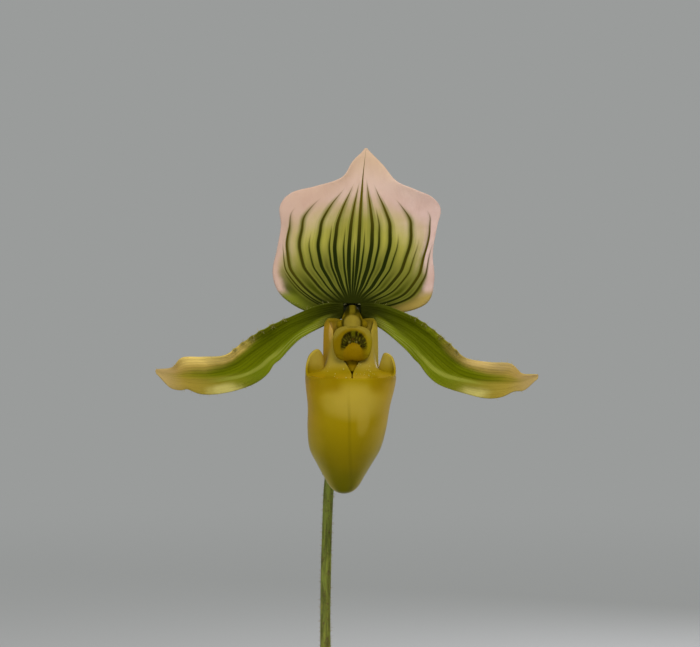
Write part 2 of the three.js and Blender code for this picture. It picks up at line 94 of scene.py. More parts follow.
class Sock:
    """One socket of a node tree, on which sums are written as plain Python."""

    def __init__(self, tree, socket=None):
        self.tree = tree
        self.socket = socket

    def node(self, kind, settings=(), inputs=(), out=0):
        """Adds a node: its settings first, then the values or links of its inputs."""
        node = self.tree.nodes.new(kind)
        for name, value in dict(settings).items():
            setattr(node, name, value)
        for name, value in dict(inputs).items():
            if isinstance(value, Sock):
                self.tree.links.new(value.socket, node.inputs[name])
            else:
                node.inputs[name].default_value = value
        return Sock(self.tree, node.outputs[out])

    def math(self, operation, *others):
        return self.node("ShaderNodeMath", {"operation": operation}, enumerate((self, *others)))

    def __add__(self, other):
        return self.math("ADD", other)

    def __sub__(self, other):
        return self.math("SUBTRACT", other)

    def __rsub__(self, other):
        return self.math("MULTIPLY_ADD", -1.0, other)

    def __mul__(self, other):
        return self.math("MULTIPLY", other)

    __radd__ = __add__
    __rmul__ = __mul__

    def __truediv__(self, other):
        return self.math("DIVIDE", other)

    def __pow__(self, other):
        return self.math("POWER", other)

    def __abs__(self):
        return self.math("ABSOLUTE")

    def smooth(self, low, high):
        """0 below low, 1 above high, and an easy rise between; falls where high is the lower."""
        ends = {"Value": self, "From Min": low, "From Max": high}
        return self.node("ShaderNodeMapRange", {"interpolation_type": "SMOOTHSTEP"}, ends)

    def mix(self, low, high):
        """Colour low where this mask is 0 and colour high where it is 1."""
        return self.node("ShaderNodeMix", {"data_type": "RGBA"}, {0: self, 6: low, 7: high}, out=2)

    def split(self):
        parts = self.node("ShaderNodeSeparateXYZ", inputs={0: self}).socket.node.outputs
        return [Sock(self.tree, part) for part in parts]

    def noise(self, scale, detail=3.0, rough=0.55):
        size = {"Vector": self, "Scale": scale, "Detail": detail, "Roughness": rough}
        return self.node("ShaderNodeTexNoise", {}, size)

    def stretch(self, x, y, z):
        """This place with its three axes scaled, to draw a pattern out along one."""
        return self.node("ShaderNodeVectorMath", {"operation": "MULTIPLY"}, {0: self, 1: (x, y, z)})

    def kept(self, name, out="Vector"):
        """What the mesh keeps under a name: a vector, or one number where out is Fac."""
        return self.node("ShaderNodeAttribute", {"attribute_name": name}, out=out)

    def place(self):
        return self.node("ShaderNodeTexCoord", out="Object")

    def feed(self, shader, name):
        self.tree.links.new(self.socket, shader.inputs[name])

    def raise_on(self, shader, strength, distance):
        """Roughens the surface by this height; the distance is in metres."""
        height = {"Height": self, "Strength": strength, "Distance": distance}
        self.node("ShaderNodeBump", {}, height).feed(shader, "Normal")


def finish(name, **constants):
    """A new material with its constant values set: its shader, and a start for its patterns."""
    look = bpy.data.materials.new(name)
    look.use_nodes = True
    shader = look.node_tree.nodes["Principled BSDF"]
    for socket, value in constants.items():
        shader.inputs[socket.replace("_", " ")].default_value = value
    return look, shader, Sock(look.node_tree)


BACKDROP = tint("9a9c9b")
FADE = (0.5, 2.6)  # metres from the pot to where the floor has become the backdrop
world = bpy.data.worlds.new("studio")
world.use_nodes = True
world.node_tree.nodes["Background"].inputs["Color"].default_value = BACKDROP
scene.world = world

bpy.ops.mesh.primitive_circle_add(vertices=96, radius=3.6, fill_type="NGON")
floor = bpy.context.object
floor.name = "floor"
look, shader, start = finish("pale floor", Roughness=0.8, Specular_IOR_Level=0.2)
place = start.place()
reach = place.node("ShaderNodeVectorMath", {"operation": "LENGTH"}, {0: place}, out="Value")
grain = place.noise(400, 2)
grain.mix(tint("d6d7d7"), tint("dcdcdb")).feed(shader, "Base Color")
far = place.node("ShaderNodeEmission", {}, {"Color": BACKDROP})
near = Sock(start.tree, shader.outputs[0])
floor_end = place.node("ShaderNodeMixShader", {}, {0: reach.smooth(*FADE), 1: near, 2: far})
floor_end.feed(look.node_tree.nodes["Material Output"], "Surface")
floor.data.materials.append(look)
floor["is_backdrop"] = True


def soft_light(name, place, aim, size, power, colour):
    lamp = bpy.data.lights.new(name, "AREA")
    lamp.shape = "DISK"
    lamp.size = size
    lamp.energy = power
    lamp.color = tint(colour)[:3]
    light = bpy.data.objects.new(name, lamp)
    light.location = place
    light.rotation_euler = (Vector(place) - Vector(aim)).to_track_quat("Z", "Y").to_euler()
    light.visible_camera = False
    scene.collection.objects.link(light)


soft_light("key light", (0.25, -0.85, 1.05), (0, 0, 0.27), 0.7, 11, "fffaf2")
soft_light("fill light", (-0.9, -0.7, 0.45), (0, 0, 0.25), 0.8, 3.5, "f3f7ff")
soft_light("back light", (0.5, 1.1, 0.7), (0, 0, 0.25), 0.9, 4.5, "f8f8ff")

camera = bpy.data.objects.new("camera", bpy.data.cameras.new("camera"))
camera.data.lens = 100
camera.data.sensor_width = 36
camera.data.clip_start = 0.01
camera.location = (-0.0006, -0.580, 0.2955)
camera.rotation_euler = (math.pi / 2, 0, 0)
scene.collection.objects.link(camera)
scene.camera = camera


# Pot. Thrown terracotta, unglazed, with a thick band below its brim and five drain holes in its
# floor. Throwing rings run round it, lime has bloomed on the clay, and its foot stays damp.
MM = 0.001
FULL_TURN = 2 * math.pi
POT = {"height": 96, "foot": 41, "waist": 51, "band at": 70, "band": 55, "brim": 57}
POT_INSIDE = {"floor": 6, "foot": 36, "brim": 51.5}
DRAIN = {"count": 5, "radius": 4.5, "ring": 22, "from": -9, "to": 15}


def solid_of(name, points, faces, look, smooth=True, layers=()):
    """An object whose closed mesh, given in millimetres, faces outwards. A layer is a vector that
    the mesh keeps at each point for its material."""
    points = np.asarray(points, float).reshape(-1, 3) * MM
    mesh = bpy.data.meshes.new(name)
    mesh.from_pydata(points.tolist(), [], [list(map(int, face)) for face in faces])
    for key, vectors in dict(layers).items():
        layer = mesh.attributes.new(key, "FLOAT_VECTOR", "POINT")
        layer.data.foreach_set("vector", np.asarray(vectors, np.float32).ravel())
    shape = bmesh.new()
    shape.from_mesh(mesh)
    bmesh.ops.remove_doubles(shape, verts=shape.verts, dist=1e-7)
    if shape.calc_volume(signed=True) < 0:
        bmesh.ops.reverse_faces(shape, faces=shape.faces)
    shape.to_mesh(mesh)
    shape.free()
    if smooth:
        mesh.shade_smooth()
    else:
        mesh.shade_flat()
    mesh.materials.append(look)
    made = bpy.data.objects.new(name, mesh)
    scene.collection.objects.link(made)
    return made


def settle(made):
    """Turns an object and its modifiers into one object with a plain mesh."""
    bpy.context.view_layer.update()
    graph = bpy.context.evaluated_depsgraph_get()
    whole = made.evaluated_get(graph)
    mesh = bpy.data.meshes.new_from_object(whole, preserve_all_data_layers=True, depsgraph=graph)
    made.modifiers.clear()
    made.data = mesh
    return made


def fix(made, slot, *nodes):
    """Hands a finished piece to the frame, in place of its plain nodes."""
    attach(made, "root")
    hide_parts(*nodes)


def rounded(outline, radius, steps=4):
    """The outline with each inner corner turned into a short curve."""
    corners = [np.array(corner, float) for corner in outline]
    made = [corners[0]]
    for before, corner, after in zip(corners, corners[1:], corners[2:]):
        back, ahead = before - corner, after - corner
        cut = min(radius, 0.45 * np.linalg.norm(back), 0.45 * np.linalg.norm(ahead))
        start_at = corner + back / np.linalg.norm(back) * cut
        end_at = corner + ahead / np.linalg.norm(ahead) * cut
        for w in np.linspace(0, 1, steps + 1):
            made.append((1 - w) ** 2 * start_at + 2 * w * (1 - w) * corner + w**2 * end_at)
    return [*made, corners[-1]]


def turned(outline, segments):
    """Points and faces of an outline of (radius, height) turned round the pot's axis."""
    angles = FULL_TURN * np.arange(segments) / segments
    reach, height = np.array(outline, float).T
    x, y = reach[:, None] * np.cos(angles), reach[:, None] * np.sin(angles)
    points = np.stack([x, y, np.repeat(height[:, None], segments, 1)], -1)
    i, j = np.meshgrid(np.arange(len(outline) - 1), np.arange(segments), indexing="ij")
    k = (j + 1) % segments
    a, b = i * segments + j, (i + 1) * segments + j
    c, d = (i + 1) * segments + k, i * segments + k
    return points, np.stack([a, d, c, b], -1).reshape(-1, 4)


look, shader, start = finish("terracotta", Roughness=0.85, Specular_IOR_Level=0.25)
place = start.place()
height = place.split()[2]
mottle = place.noise(38, 5, 0.65)
lime = place.noise(90, 6, 0.7).smooth(0.52, 0.72) * place.noise(22, 3).smooth(0.42, 0.66)
damp = (place.noise(30, 4) * 0.02 + height).smooth(0.045, 0.012)
clay = mottle.smooth(0.3, 0.7).mix(tint("a3573a"), tint("c27a54"))
clay = damp.mix(clay, tint("7d4029"))
clay = (lime * 0.55).mix(clay, tint("d9c3ae"))
clay.feed(shader, "Base Color")
rings = (height * 1900 + place.noise(25, 2) * 4).math("SINE") * 0.25
relief = rings + place.noise(900, 4, 0.7) + place.noise(140, 3)
relief.raise_on(shader, 0.45, 0.0006)
foot, waist, brim = POT["foot"], POT["waist"], POT["brim"]
outline = [
    (0, 0), (foot, 0), (waist, POT["band at"] - 1), (POT["band"], POT["band at"] + 0.6),
    (brim, POT["height"] - 1), (brim - 1.6, POT["height"]), (POT_INSIDE["brim"] + 1.2, POT["height"]),
    (POT_INSIDE["brim"], POT["height"] - 2), (POT_INSIDE["foot"] + 0.6, POT_INSIDE["floor"]),
    (0, POT_INSIDE["floor"]),
]
pot = solid_of("clay_pot", *turned(rounded(outline, 1.6), 112), look)
wide, low, high = DRAIN["radius"], DRAIN["from"], DRAIN["to"]
points, faces = turned([(0, low), (wide, low), (wide, high), (0, high)], 24)
drills = []
for turn in np.arange(DRAIN["count"]) * FULL_TURN / DRAIN["count"]:
    seat = [DRAIN["ring"] * math.cos(turn), DRAIN["ring"] * math.sin(turn), 0]
    drills.append(solid_of("drill", points + seat, faces, look))
for drill in drills:
    bore = pot.modifiers.new("drain", "BOOLEAN")
    bore.solver = "EXACT"
    bore.object = drill
settle(pot)
for drill in drills:
    bpy.data.objects.remove(drill)
pot.data.set_sharp_from_angle(angle=math.radians(40))
fix(pot, "clay", "pot")


# Bark. Coarse fir bark fills the pot to a finger's breadth below its brim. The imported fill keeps
# its wells and root runs; loose chips, each a stack of corky layers, are strewn over its top by a
# geometry tree, thinly round the crowns.
CROWN = {"x": -4, "y": 1, "top": 86, "radius": 10.6, "depth": 13}
SHOOT = {"x": -13, "y": 31, "top": 85.6, "radius": 6.6, "depth": 11}
CHIPS = {"kinds": 6, "lowest": 79.5, "outermost": 46.2, "clear of crowns": 4.5}


def sprout(host, name, look, build, **sizes):
    """Remakes the host's mesh by a geometry tree, which build() draws from its named inputs."""
    tree = bpy.data.node_groups.new(name, "GeometryNodeTree")
    kinds = {float: "Float", int: "Int", bpy.types.Collection: "Collection"}
    tree.interface.new_socket("Host", in_out="INPUT", socket_type="NodeSocketGeometry")
    tree.interface.new_socket("Grown", in_out="OUTPUT", socket_type="NodeSocketGeometry")
    labels = {}
    for label, value in sizes.items():
        kind = "NodeSocket" + kinds[type(value)]
        labels[label] = tree.interface.new_socket(label, in_out="INPUT", socket_type=kind)
    inlet = tree.nodes.new("NodeGroupInput")
    outlet = tree.nodes.new("NodeGroupOutput")
    given = {label: Sock(tree, inlet.outputs[label]) for label in sizes}
    made = build(Sock(tree, inlet.outputs["Host"]), **given)
    made = made.node("GeometryNodeRealizeInstances", {}, {0: made})
    made = made.node("GeometryNodeSetMaterial", {}, {0: made, "Material": look})
    tree.links.new(made.socket, outlet.inputs[0])
    modifier = host.modifiers.new(name, "NODES")
    modifier.node_group = tree
    for label, value in sizes.items():
        modifier[labels[label].identifier] = value
    return settle(host)


def bark_chip(number):
    """One chip, a unit long, whose mesh remembers where each point lay in the bark."""
    random = np.random.default_rng(number)
    shape = bmesh.new()
    bmesh.ops.create_cube(shape, size=1)
    bmesh.ops.subdivide_edges(shape, edges=shape.edges, cuts=2, use_grid_fill=True)
    mesh = bpy.data.meshes.new("chip")
    shape.to_mesh(mesh)
    shape.free()
    points = np.array([point.co for point in mesh.vertices])
    lay = points * [1, 0.62 + 0.2 * random.random(), 0.3 + 0.12 * random.random()]
    ends = 1 - 0.3 * np.abs(points[:, [1]]) - 0.18 * np.abs(points[:, [2]])
    made = lay * np.hstack([ends, 1 - 0.35 * np.abs(points[:, [0]]), np.ones_like(ends)])
    made += random.normal(0, 0.035, made.shape)
    made[:, 2] += 0.16 * (random.random() - 0.3) * (2 * made[:, 0]) ** 2
    mesh.vertices.foreach_set("co", made.ravel())
    mesh.attributes.new("lay", "FLOAT_VECTOR", "POINT").data.foreach_set("vector", lay.ravel())
    return bpy.data.objects.new("chip", mesh)


def chance(host, low, high, seed):
    """A number between low and high, drawn for each point."""
    ends = {2: low, 3: high, "Seed": seed}
    return host.node("FunctionNodeRandomValue", {"data_type": "FLOAT"}, ends, out=1)


def tipped(host, facing, tilt, seed):
    """The way that each point faces, tilted a little and turned any way round."""
    ends = {"Min": (-tilt, -tilt, 0.0), "Max": (tilt, tilt, FULL_TURN), "Seed": seed}
    turn = host.node("FunctionNodeRandomValue", {"data_type": "FLOAT_VECTOR"}, ends)
    return host.node("FunctionNodeRotateRotation", {"rotation_space": "LOCAL"}, {0: facing, 1: turn})


def dressed(host, laid, name, value):
    """The host with the copies laid on it, each of which keeps a value under a name."""
    mark = {"Geometry": laid, "Name": name, "Value": value}
    store = {"data_type": "FLOAT", "domain": "INSTANCE"}
    marked = host.node("GeometryNodeStoreNamedAttribute", store, mark)
    pair = host.node("GeometryNodeJoinGeometry", {}, {0: marked})
    host.tree.links.new(host.socket, pair.socket.node.inputs[0])
    return pair


def strewn(host, chips, apart, small, large, seed):
    """Chips strewn over the level top of the fill, off its walls, its wells and the crowns."""
    x, y, z = host.node("GeometryNodeInputPosition").split()
    field = {"Mesh": host, "Distance Min": apart, "Density Max": 200000.0, "Seed": seed}
    scatter = host.node("GeometryNodeDistributePointsOnFaces", {"distribute_method": "POISSON"}, field)
    gone = z.math("LESS_THAN", CHIPS["lowest"] * MM)
    off = (x * x + y * y).math("SQRT")
    gone = gone + off.math("GREATER_THAN", CHIPS["outermost"] * MM)
    for crown in (CROWN, SHOOT):
        across, along = x - crown["x"] * MM, y - crown["y"] * MM
        off = (across * across + along * along).math("SQRT")
        gone = gone + off.math("LESS_THAN", (crown["radius"] + CHIPS["clear of crowns"]) * MM)
    bare = {"Geometry": scatter, "Selection": gone}
    points = host.node("GeometryNodeDeleteGeometry", {"domain": "POINT"}, bare)
    pile = {"Collection": chips, "Separate Children": True, "Reset Children": True}
    kinds = host.node("GeometryNodeCollectionInfo", {}, pile)
    normal = Sock(host.tree, scatter.socket.node.outputs["Normal"])
    level = host.node("FunctionNodeAlignRotationToVector", {"axis": "Z"}, {"Vector": normal})
    laid = {
        "Points": points, "Instance": kinds, "Pick Instance": True,
        "Rotation": tipped(host, level, 0.35, seed), "Scale": chance(host, small, large, seed),
    }
    laid = host.node("GeometryNodeInstanceOnPoints", {}, laid)
    return dressed(host, laid, "tone", chance(host, 0.0, 1.0, 7))


look, shader, start = finish("bark", Roughness=0.9, Specular_IOR_Level=0.2)
lay = start.kept("lay")
tone = start.kept("tone", "Fac")
place = start.place()
layers = lay.stretch(2, 2, 16).noise(2.2, 3, 0.6)
fibre = place.noise(420, 4, 0.65)
cork = layers.smooth(0.35, 0.65).mix(tint("3f2618"), tint("8a5a38"))
cork = tone.smooth(0.55, 0.9).mix(cork, tint("9a7a5c"))
cork = (tone.smooth(0.35, 0.1) * 0.7).mix(cork, tint("2c1c13"))
cork = (fibre.smooth(0.5, 0.75) * 0.5).mix(cork, tint("b08b66"))
cork.feed(shader, "Base Color")
(layers * 1.4 + fibre).raise_on(shader, 0.8, 0.0007)
fill = frame["nodes"]["bark"].data
corners = np.array([point.co for point in fill.vertices]) / MM
bark = solid_of("bark_chips", corners, [face.vertices for face in fill.polygons], look, smooth=False)
chips = bpy.data.collections.new("chips")
for number in range(CHIPS["kinds"]):
    chips.objects.link(bark_chip(number))
sizes = {"apart": 0.0042, "small": 0.007, "large": 0.0145}
sprout(bark, "strewn chips", look, strewn, chips=chips, **sizes, seed=5)
for chip in list(chips.objects):
    bpy.data.objects.remove(chip)
bark.data.shade_flat()
fix(bark, "bark", "bark")


# Rhizome. Two crowns joined under the bark, the older in flower and a new one behind it. Stout
# roots, brown and furry, run out between the chips and dive in. It grew as one piece.
ROOTS = {"radius": 1.5, "azimuths": (62, 118, 205, 262, 318)}


def curve(points, eased=False):
    """A smooth line through the points, for values from 0 to 1; eased lines start and end slower."""
    points = np.array(points, float)
    ends = [2 * points[0] - points[1], 2 * points[-1] - points[-2]]
    if eased:
        ends = [points[0], points[-1]]
    points = np.concatenate([ends[:1], points, ends[1:]])

    def at(s):
        s = np.clip(s, 0, 1) * (len(points) - 3)
        first = np.minimum(s.astype(int), len(points) - 4)
        w = (s - first)[..., None]
        a, b, c, d = (points[first + k] for k in range(4))
        return b + 0.5 * w * (c - a + w * (2 * a - 5 * b + 4 * c - d + w * (3 * (b - c) + d - a)))

    return at


def stalk(path, radius, steps, sides):
    """Points and faces of a closed stalk along a line; radius(s, angle) is its reach."""
    fine = path(np.linspace(0, 1, 600))
    far = np.append(0, np.cumsum(np.linalg.norm(np.diff(fine, axis=0), axis=1)))
    even = np.linspace(0, far[-1], steps + 1)
    centre = np.stack([np.interp(even, far, fine[:, k]) for k in range(3)], -1)
    along = np.gradient(centre, axis=0)
    along /= np.linalg.norm(along, axis=1, keepdims=True)
    side = np.array([1.0, 0, 0]) if abs(along[0][0]) < 0.7 else np.array([0, 1.0, 0])
    angles = FULL_TURN * np.arange(sides) / sides
    rings = []
    for i, (middle, ahead) in enumerate(zip(centre, along)):
        side = side - ahead * side.dot(ahead)
        side /= np.linalg.norm(side)
        reach = radius(np.full(sides, i / steps), angles)[:, None]
        across = np.cos(angles)[:, None] * side + np.sin(angles)[:, None] * np.cross(ahead, side)
        rings.append(middle + reach * across)
    i, j = np.meshgrid(np.arange(steps), np.arange(sides), indexing="ij")
    k = (j + 1) % sides
    quads = np.stack([i * sides + j, i * sides + k, (i + 1) * sides + k, (i + 1) * sides + j], -1)
    caps = [list(range(sides))[::-1], [steps * sides + n for n in range(sides)]]
    return np.concatenate(rings), [*quads.reshape(-1, 4).tolist(), *caps]


def around(growth, azimuth, reach, height):
    turn = math.radians(azimuth)
    return growth["x"] + reach * math.cos(turn), growth["y"] + reach * math.sin(turn), height


look, shader, start = finish("root skin", Roughness=0.85, Specular_IOR_Level=0.2)
place = start.place()
fur = place.noise(1500, 4, 0.7)
skin = place.noise(160, 4).smooth(0.35, 0.65).mix(tint("6a5236"), tint("a58d63"))
skin = (fur.smooth(0.45, 0.7) * 0.6).mix(skin, tint("c8b592"))
skin.feed(shader, "Base Color")
(fur + place.noise(300, 3)).raise_on(shader, 0.7, 0.0005)
growths = []
for crown in (CROWN, SHOOT):
    wide, deep = crown["radius"], crown["depth"]
    outline = [
        (0, -deep), (wide * 0.45, -deep), (wide * 0.85, -deep * 0.6), (wide, -deep * 0.25),
        (wide * 0.97, -1), (wide * 0.9, 0), (0, 0),
    ]
    points, faces = turned(rounded(outline, 1.2), 40)
    growths.append((points + [crown["x"], crown["y"], crown["top"]], faces))
for i, azimuth in enumerate(ROOTS["azimuths"]):
    route = [(7, 81), (12, 84.5), (17, 85.2 - i % 2), (22, 81), (25, 72), (26, 60)]
    swerve = 5 if i % 2 else -5
    path = curve([around(CROWN, azimuth + swerve * k, *step) for k, step in enumerate(route)])
    knobs = lambda s, angle: ROOTS["radius"] * (1 + 0.1 * np.sin(31 * s + i) * np.sin(13 * s + angle))
    growths.append(stalk(path, knobs, 70, 14))
link = curve([around(CROWN, 90, 2, 77), around(SHOOT, 290, 14, 75.5), around(SHOOT, 290, 1, 78)])
growths.append(stalk(link, lambda s, angle: 4 + 0 * s, 20, 20))
parts = [solid_of("growth", points, faces, look) for points, faces in growths]
rhizome = parts[0]
for part in parts[1:]:
    union = rhizome.modifiers.new("grown on", "BOOLEAN")
    union.operation = "UNION"
    union.solver = "MANIFOLD"
    union.object = part
settle(rhizome)
for part in parts[1:]:
    bpy.data.objects.remove(part)
rhizome.name = "crowns_and_roots"
fix(rhizome, "root", "rhizome")


# Leaves. Each clasps the crown with its base, leans out, droops and ends in a blunt point. The
# upper face is tessellated in dark and pale green along its veins; the lower face is plain and
# paler, with a keel.
LEAF_PARTS = ("azimuth", "sheath", "length", "width", "height", "lean", "tip_lean")
FAN = [
    (14, 9.5, 172, 20.5, 3, 64, 112),
    (196, 8.4, 164, 20.5, 6, 58, 104),
    (11, 7.3, 150, 19.5, 11, 49, 92),
    (193, 6.2, 138, 18.5, 16, 42, 82),
    (15, 5.1, 112, 16, 23, 29, 58),
    (196, 4, 86, 12.5, 30, 19, 40),
]
YOUNG = [(146, 5.4, 92, 13, 3, 56, 98), (328, 4.3, 50, 9.5, 7, 14, 30), (150, 3.2, 56, 8.5, 12, 22, 40)]


def smoothstep(value, low, high):
    value = np.clip((value - low) / (high - low), 0, 1)
    return value * value * (3 - 2 * value)


def shell(name, surface, rows, columns, thickness, look, looped=False, marks=None):
    """A closed sheet round surface(s, t), s from 0 to 1 along it and t from -1 to 1 across it.
    Its mesh keeps (t, s, side) as lay, with side 1 on the face that s and t turn round. The
    columns are a number, or the places across it."""
    if isinstance(columns, int):
        t = np.linspace(-1, 1, columns + 1)
        t = t[:-1] if looped else np.sin(t * np.pi / 2)
    else:
        t = np.array(columns)
    s, t = np.meshgrid(np.linspace(0, 1, rows + 1), t, indexing="ij")
    middle = surface(s, t)
    across = np.gradient(middle, axis=1)
    if looped:
        across = np.roll(middle, -1, 1) - np.roll(middle, 1, 1)
    normal = np.cross(np.gradient(middle, axis=0), across)
    if looped:
        normal[0] = normal[1].sum(0)
    normal /= np.linalg.norm(normal, axis=-1, keepdims=True)
    half = normal * thickness(s, t)[..., None] / 2
    grid = np.arange(s.size).reshape(s.shape)
    left, right = (grid, np.roll(grid, -1, 1)) if looped else (grid[:, :-1], grid[:, 1:])
    a, b, c, d = left[:-1], left[1:], right[1:], right[:-1]
    faces = [np.stack([a, b, c, d], -1), np.stack([a, d, c, b], -1) + s.size]
    walls = [(left[-1], right[-1]), (right[0], left[0])]
    if not looped:
        walls += [(grid[:-1, 0], grid[1:, 0]), (grid[1:, -1], grid[:-1, -1])]
    faces += [np.stack([q, p, p + s.size, q + s.size], -1) for p, q in walls]
    faces = np.concatenate([face.reshape(-1, 4) for face in faces])
    marks = {} if marks is None else marks(s, t, middle)
    layers = {key: np.tile(np.stack(mark, -1).reshape(-1, 3), (2, 1)) for key, mark in marks.items()}
    lay = [np.stack([t, s, np.full_like(s, side)], -1).reshape(-1, 3) for side in (1, -1)]
    layers["lay"] = np.concatenate(lay)
    points = np.concatenate([(middle + half).reshape(-1, 3), (middle - half).reshape(-1, 3)])
    return solid_of(name, points, faces, look, layers=layers)


def leaf_surface(growth, azimuth, sheath, length, width, height, lean, tip_lean):
    """A leaf that clasps the growth up to a height, opens, leans out and droops."""
    turn = math.radians(azimuth)
    out = np.array([math.cos(turn), math.sin(turn), 0])
    side = np.array([-math.sin(turn), math.cos(turn), 0])
    up = np.array([0, 0, 1.0])
    parting = height / length

    def slope(s):
        opened = smoothstep(s, parting * 0.6, parting + 0.2)
        return np.radians(lean * opened + (tip_lean - lean) * smoothstep(s, 0.3, 1))

    count = 80
    angle = slope((np.arange(count) + 0.5) / count)[:, None]
    steps = (np.sin(angle) * out + np.cos(angle) * up) * length / count
    foot = np.array([growth["x"], growth["y"], growth["top"] + 0.3]) + out * sheath
    line = curve(foot + np.concatenate([np.zeros((1, 3)), np.cumsum(steps, 0)]))

    def surface(s, t):
        opened = smoothstep(s, parting, parting + 0.28)
        drawn = np.clip((s - 0.55) / 0.45, 0, 1)
        taper = np.maximum(1 - drawn**2.3, 0) ** 0.7
        broad = sheath * 1.45 + (width - sheath * 1.45) * smoothstep(s, parting * 0.9, 0.5)
        half = np.maximum(broad * taper, 0.7)
        curl = np.maximum(sheath + (60 - sheath) * opened**2.5, half / 1.45)
        arc = t * half / curl
        fold = opened * (1.6 * np.abs(t) + 0.5 * t * np.sin(9 * s + azimuth))
        fold += opened * taper * (0.5 * (1 - np.exp(-((t / 0.09) ** 2))) - 0.5)
        fold += opened * taper * 0.45 * np.abs(t) ** 3 * np.sin(26 * s + azimuth + 2 * np.sign(t))
        face = -np.cos(slope(s))[..., None] * out + np.sin(slope(s))[..., None] * up
        made = line(s) + (curl * np.sin(arc))[..., None] * side
        return made + (curl * (1 - np.cos(arc)) + fold)[..., None] * face

    return surface


def leaf_thickness(s, t):
    keel = 0.9 * np.exp(-((t / 0.1) ** 2)) * smoothstep(s, 1, 0.6)
    return (1.1 + keel) * np.sqrt(1 - 0.93 * np.abs(t) ** 6) * (0.4 + 0.6 * smoothstep(s, 1, 0.93))


look, shader, start = finish(
    "mottled leaf", Roughness=0.42, Specular_IOR_Level=0.45, Subsurface_Weight=0.08,
    Subsurface_Radius=(0.4, 1.0, 0.2), Subsurface_Scale=0.002,
)
lay = start.kept("lay")
size = start.kept("size")
across, along, number = size.split()
t, s, face = lay.split()
place = start.place()
wander = place.noise(90, 3)
drift = {0: across * 0.42 + wander * 1.6, 1: along * 0.15 + wander * 0.9, 2: number}
drift = size.node("ShaderNodeCombineXYZ", {}, drift)
cells = drift.node(
    "ShaderNodeTexVoronoi", {"feature": "SMOOTH_F1"},
    {"Vector": drift, "Scale": 1.0, "Smoothness": 0.22, "Randomness": 0.9}, out="Color",
)
shade = cells.split()[0]
bars = drift.node(
    "ShaderNodeTexVoronoi", {"feature": "DISTANCE_TO_EDGE"},
    {"Vector": drift, "Scale": 1.0, "Randomness": 0.9}, out="Distance",
)
pale = shade.smooth(0.38, 0.62) * bars.smooth(0.02, 0.16) * wander.smooth(0.2, 0.6)
fine = (across * 7 + wander * 3).math("SINE") * 0.5 + 0.5
green = pale.mix(tint("2f5a2a"), tint("93ad7c"))
green = (fine * 0.12).mix(green, tint("22481f"))
green = (abs(t).smooth(0.08, 0.0) * 0.5).mix(green, tint("7fa05e"))
green = (abs(t).smooth(0.93, 1.0) * 0.5).mix(green, tint("b2bd84"))
under = place.noise(60, 3).mix(tint("6f8c55"), tint("87a268"))
under = (s.smooth(0.3, 0.02) * place.noise(700, 2).smooth(0.5, 0.62)).mix(under, tint("5a2f3a"))
face.smooth(-0.2, 0.2).mix(under, green).feed(shader, "Base Color")
(pale * 0.1 + 0.36 + place.noise(300, 2) * 0.12).feed(shader, "Roughness")
relief = fine * 0.2 + pale * 0.6 + place.noise(1200, 3) * 0.5
relief.raise_on(shader, 0.35, 0.0003)
for growth, rows, name in ((CROWN, FAN, "leaf"), (SHOOT, YOUNG, "young_leaf")):
    for i, row in enumerate(rows):
        plan = dict(zip(LEAF_PARTS, row))
        broad, long = plan["width"], plan["length"]
        sized = lambda s, t, middle: {"size": (t * broad, s * long + 200 * i, 0 * s + plan["azimuth"])}
        surface = leaf_surface(growth, **plan)
        leaf = shell(f"mottled_{name}_{i + 1}", surface, 96, 32, leaf_thickness, look, marks=sized)
        fix(leaf, "leaf", f"{name}_{i + 1}")


# Scape. The stem of the flower, green flushed with purple brown and clad in fine short hairs. It
# grows from the middle of the older crown, and the ovary sits on its top.
BLOOM = {"x": 0, "y": -14, "z": 300}  # where sepals, petals and column meet
SCAPE_RADIUS = 1.5


def bloom(points):
    """Points given from the middle of the bloom as (right, forward, up), in the plant's own axes."""
    points = np.asarray(points, float) * [1, -1, 1]
    return points + [BLOOM["x"], BLOOM["y"], BLOOM["z"]]


def from_bloom(place):
    """How far a place lies right of, forward of and above the middle of the bloom, in mm."""
    x, y, z = place.split()
    right, back, up = x - BLOOM["x"] * MM, y - BLOOM["y"] * MM, z - BLOOM["z"] * MM
    return right * (1 / MM), back * (-1 / MM), up * (1 / MM)


def marks_of(host, name):
    """The three numbers that the mesh keeps at each point under a name."""
    kept = host.node("GeometryNodeInputNamedAttribute", {"data_type": "FLOAT_VECTOR"}, {"Name": name})
    return kept.split()


def furred(host, hairs, long, thick, spread, seed):
    """Grows tapering hairs on the skin, so many on each square metre."""
    field = {"Mesh": host, "Density": hairs, "Seed": seed}
    scatter = host.node("GeometryNodeDistributePointsOnFaces", {"distribute_method": "RANDOM"}, field)
    facing = Sock(host.tree, scatter.socket.node.outputs["Rotation"])
    turn = tipped(host, facing, 0.6, seed)
    size = chance(host, 1.0 - spread, 1.0, seed)
    hair = {"Vertices": 3, "Side Segments": 1, "Radius Top": 0.0, "Radius Bottom": thick, "Depth": long}
    hair = host.node("GeometryNodeMeshCone", {"fill_type": "NONE"}, hair)
    laid = {"Points": scatter, "Instance": hair, "Rotation": turn, "Scale": size}
    return dressed(host, host.node("GeometryNodeInstanceOnPoints", {}, laid), "hair", 1.0)


def hairy(host, hairs, long, thick, spread, rim, seed):
    """Hairs all over, or only further out than rim on a sheet, off its foot; rim is then over 0."""
    t, s, _ = marks_of(host, "lay")
    off_foot = s.math("GREATER_THAN", 0.05).math("MAXIMUM", rim.math("LESS_THAN", 0.0))
    near = abs(t).math("GREATER_THAN", rim) * off_foot
    return furred(host, near * hairs, long, thick, spread, seed)


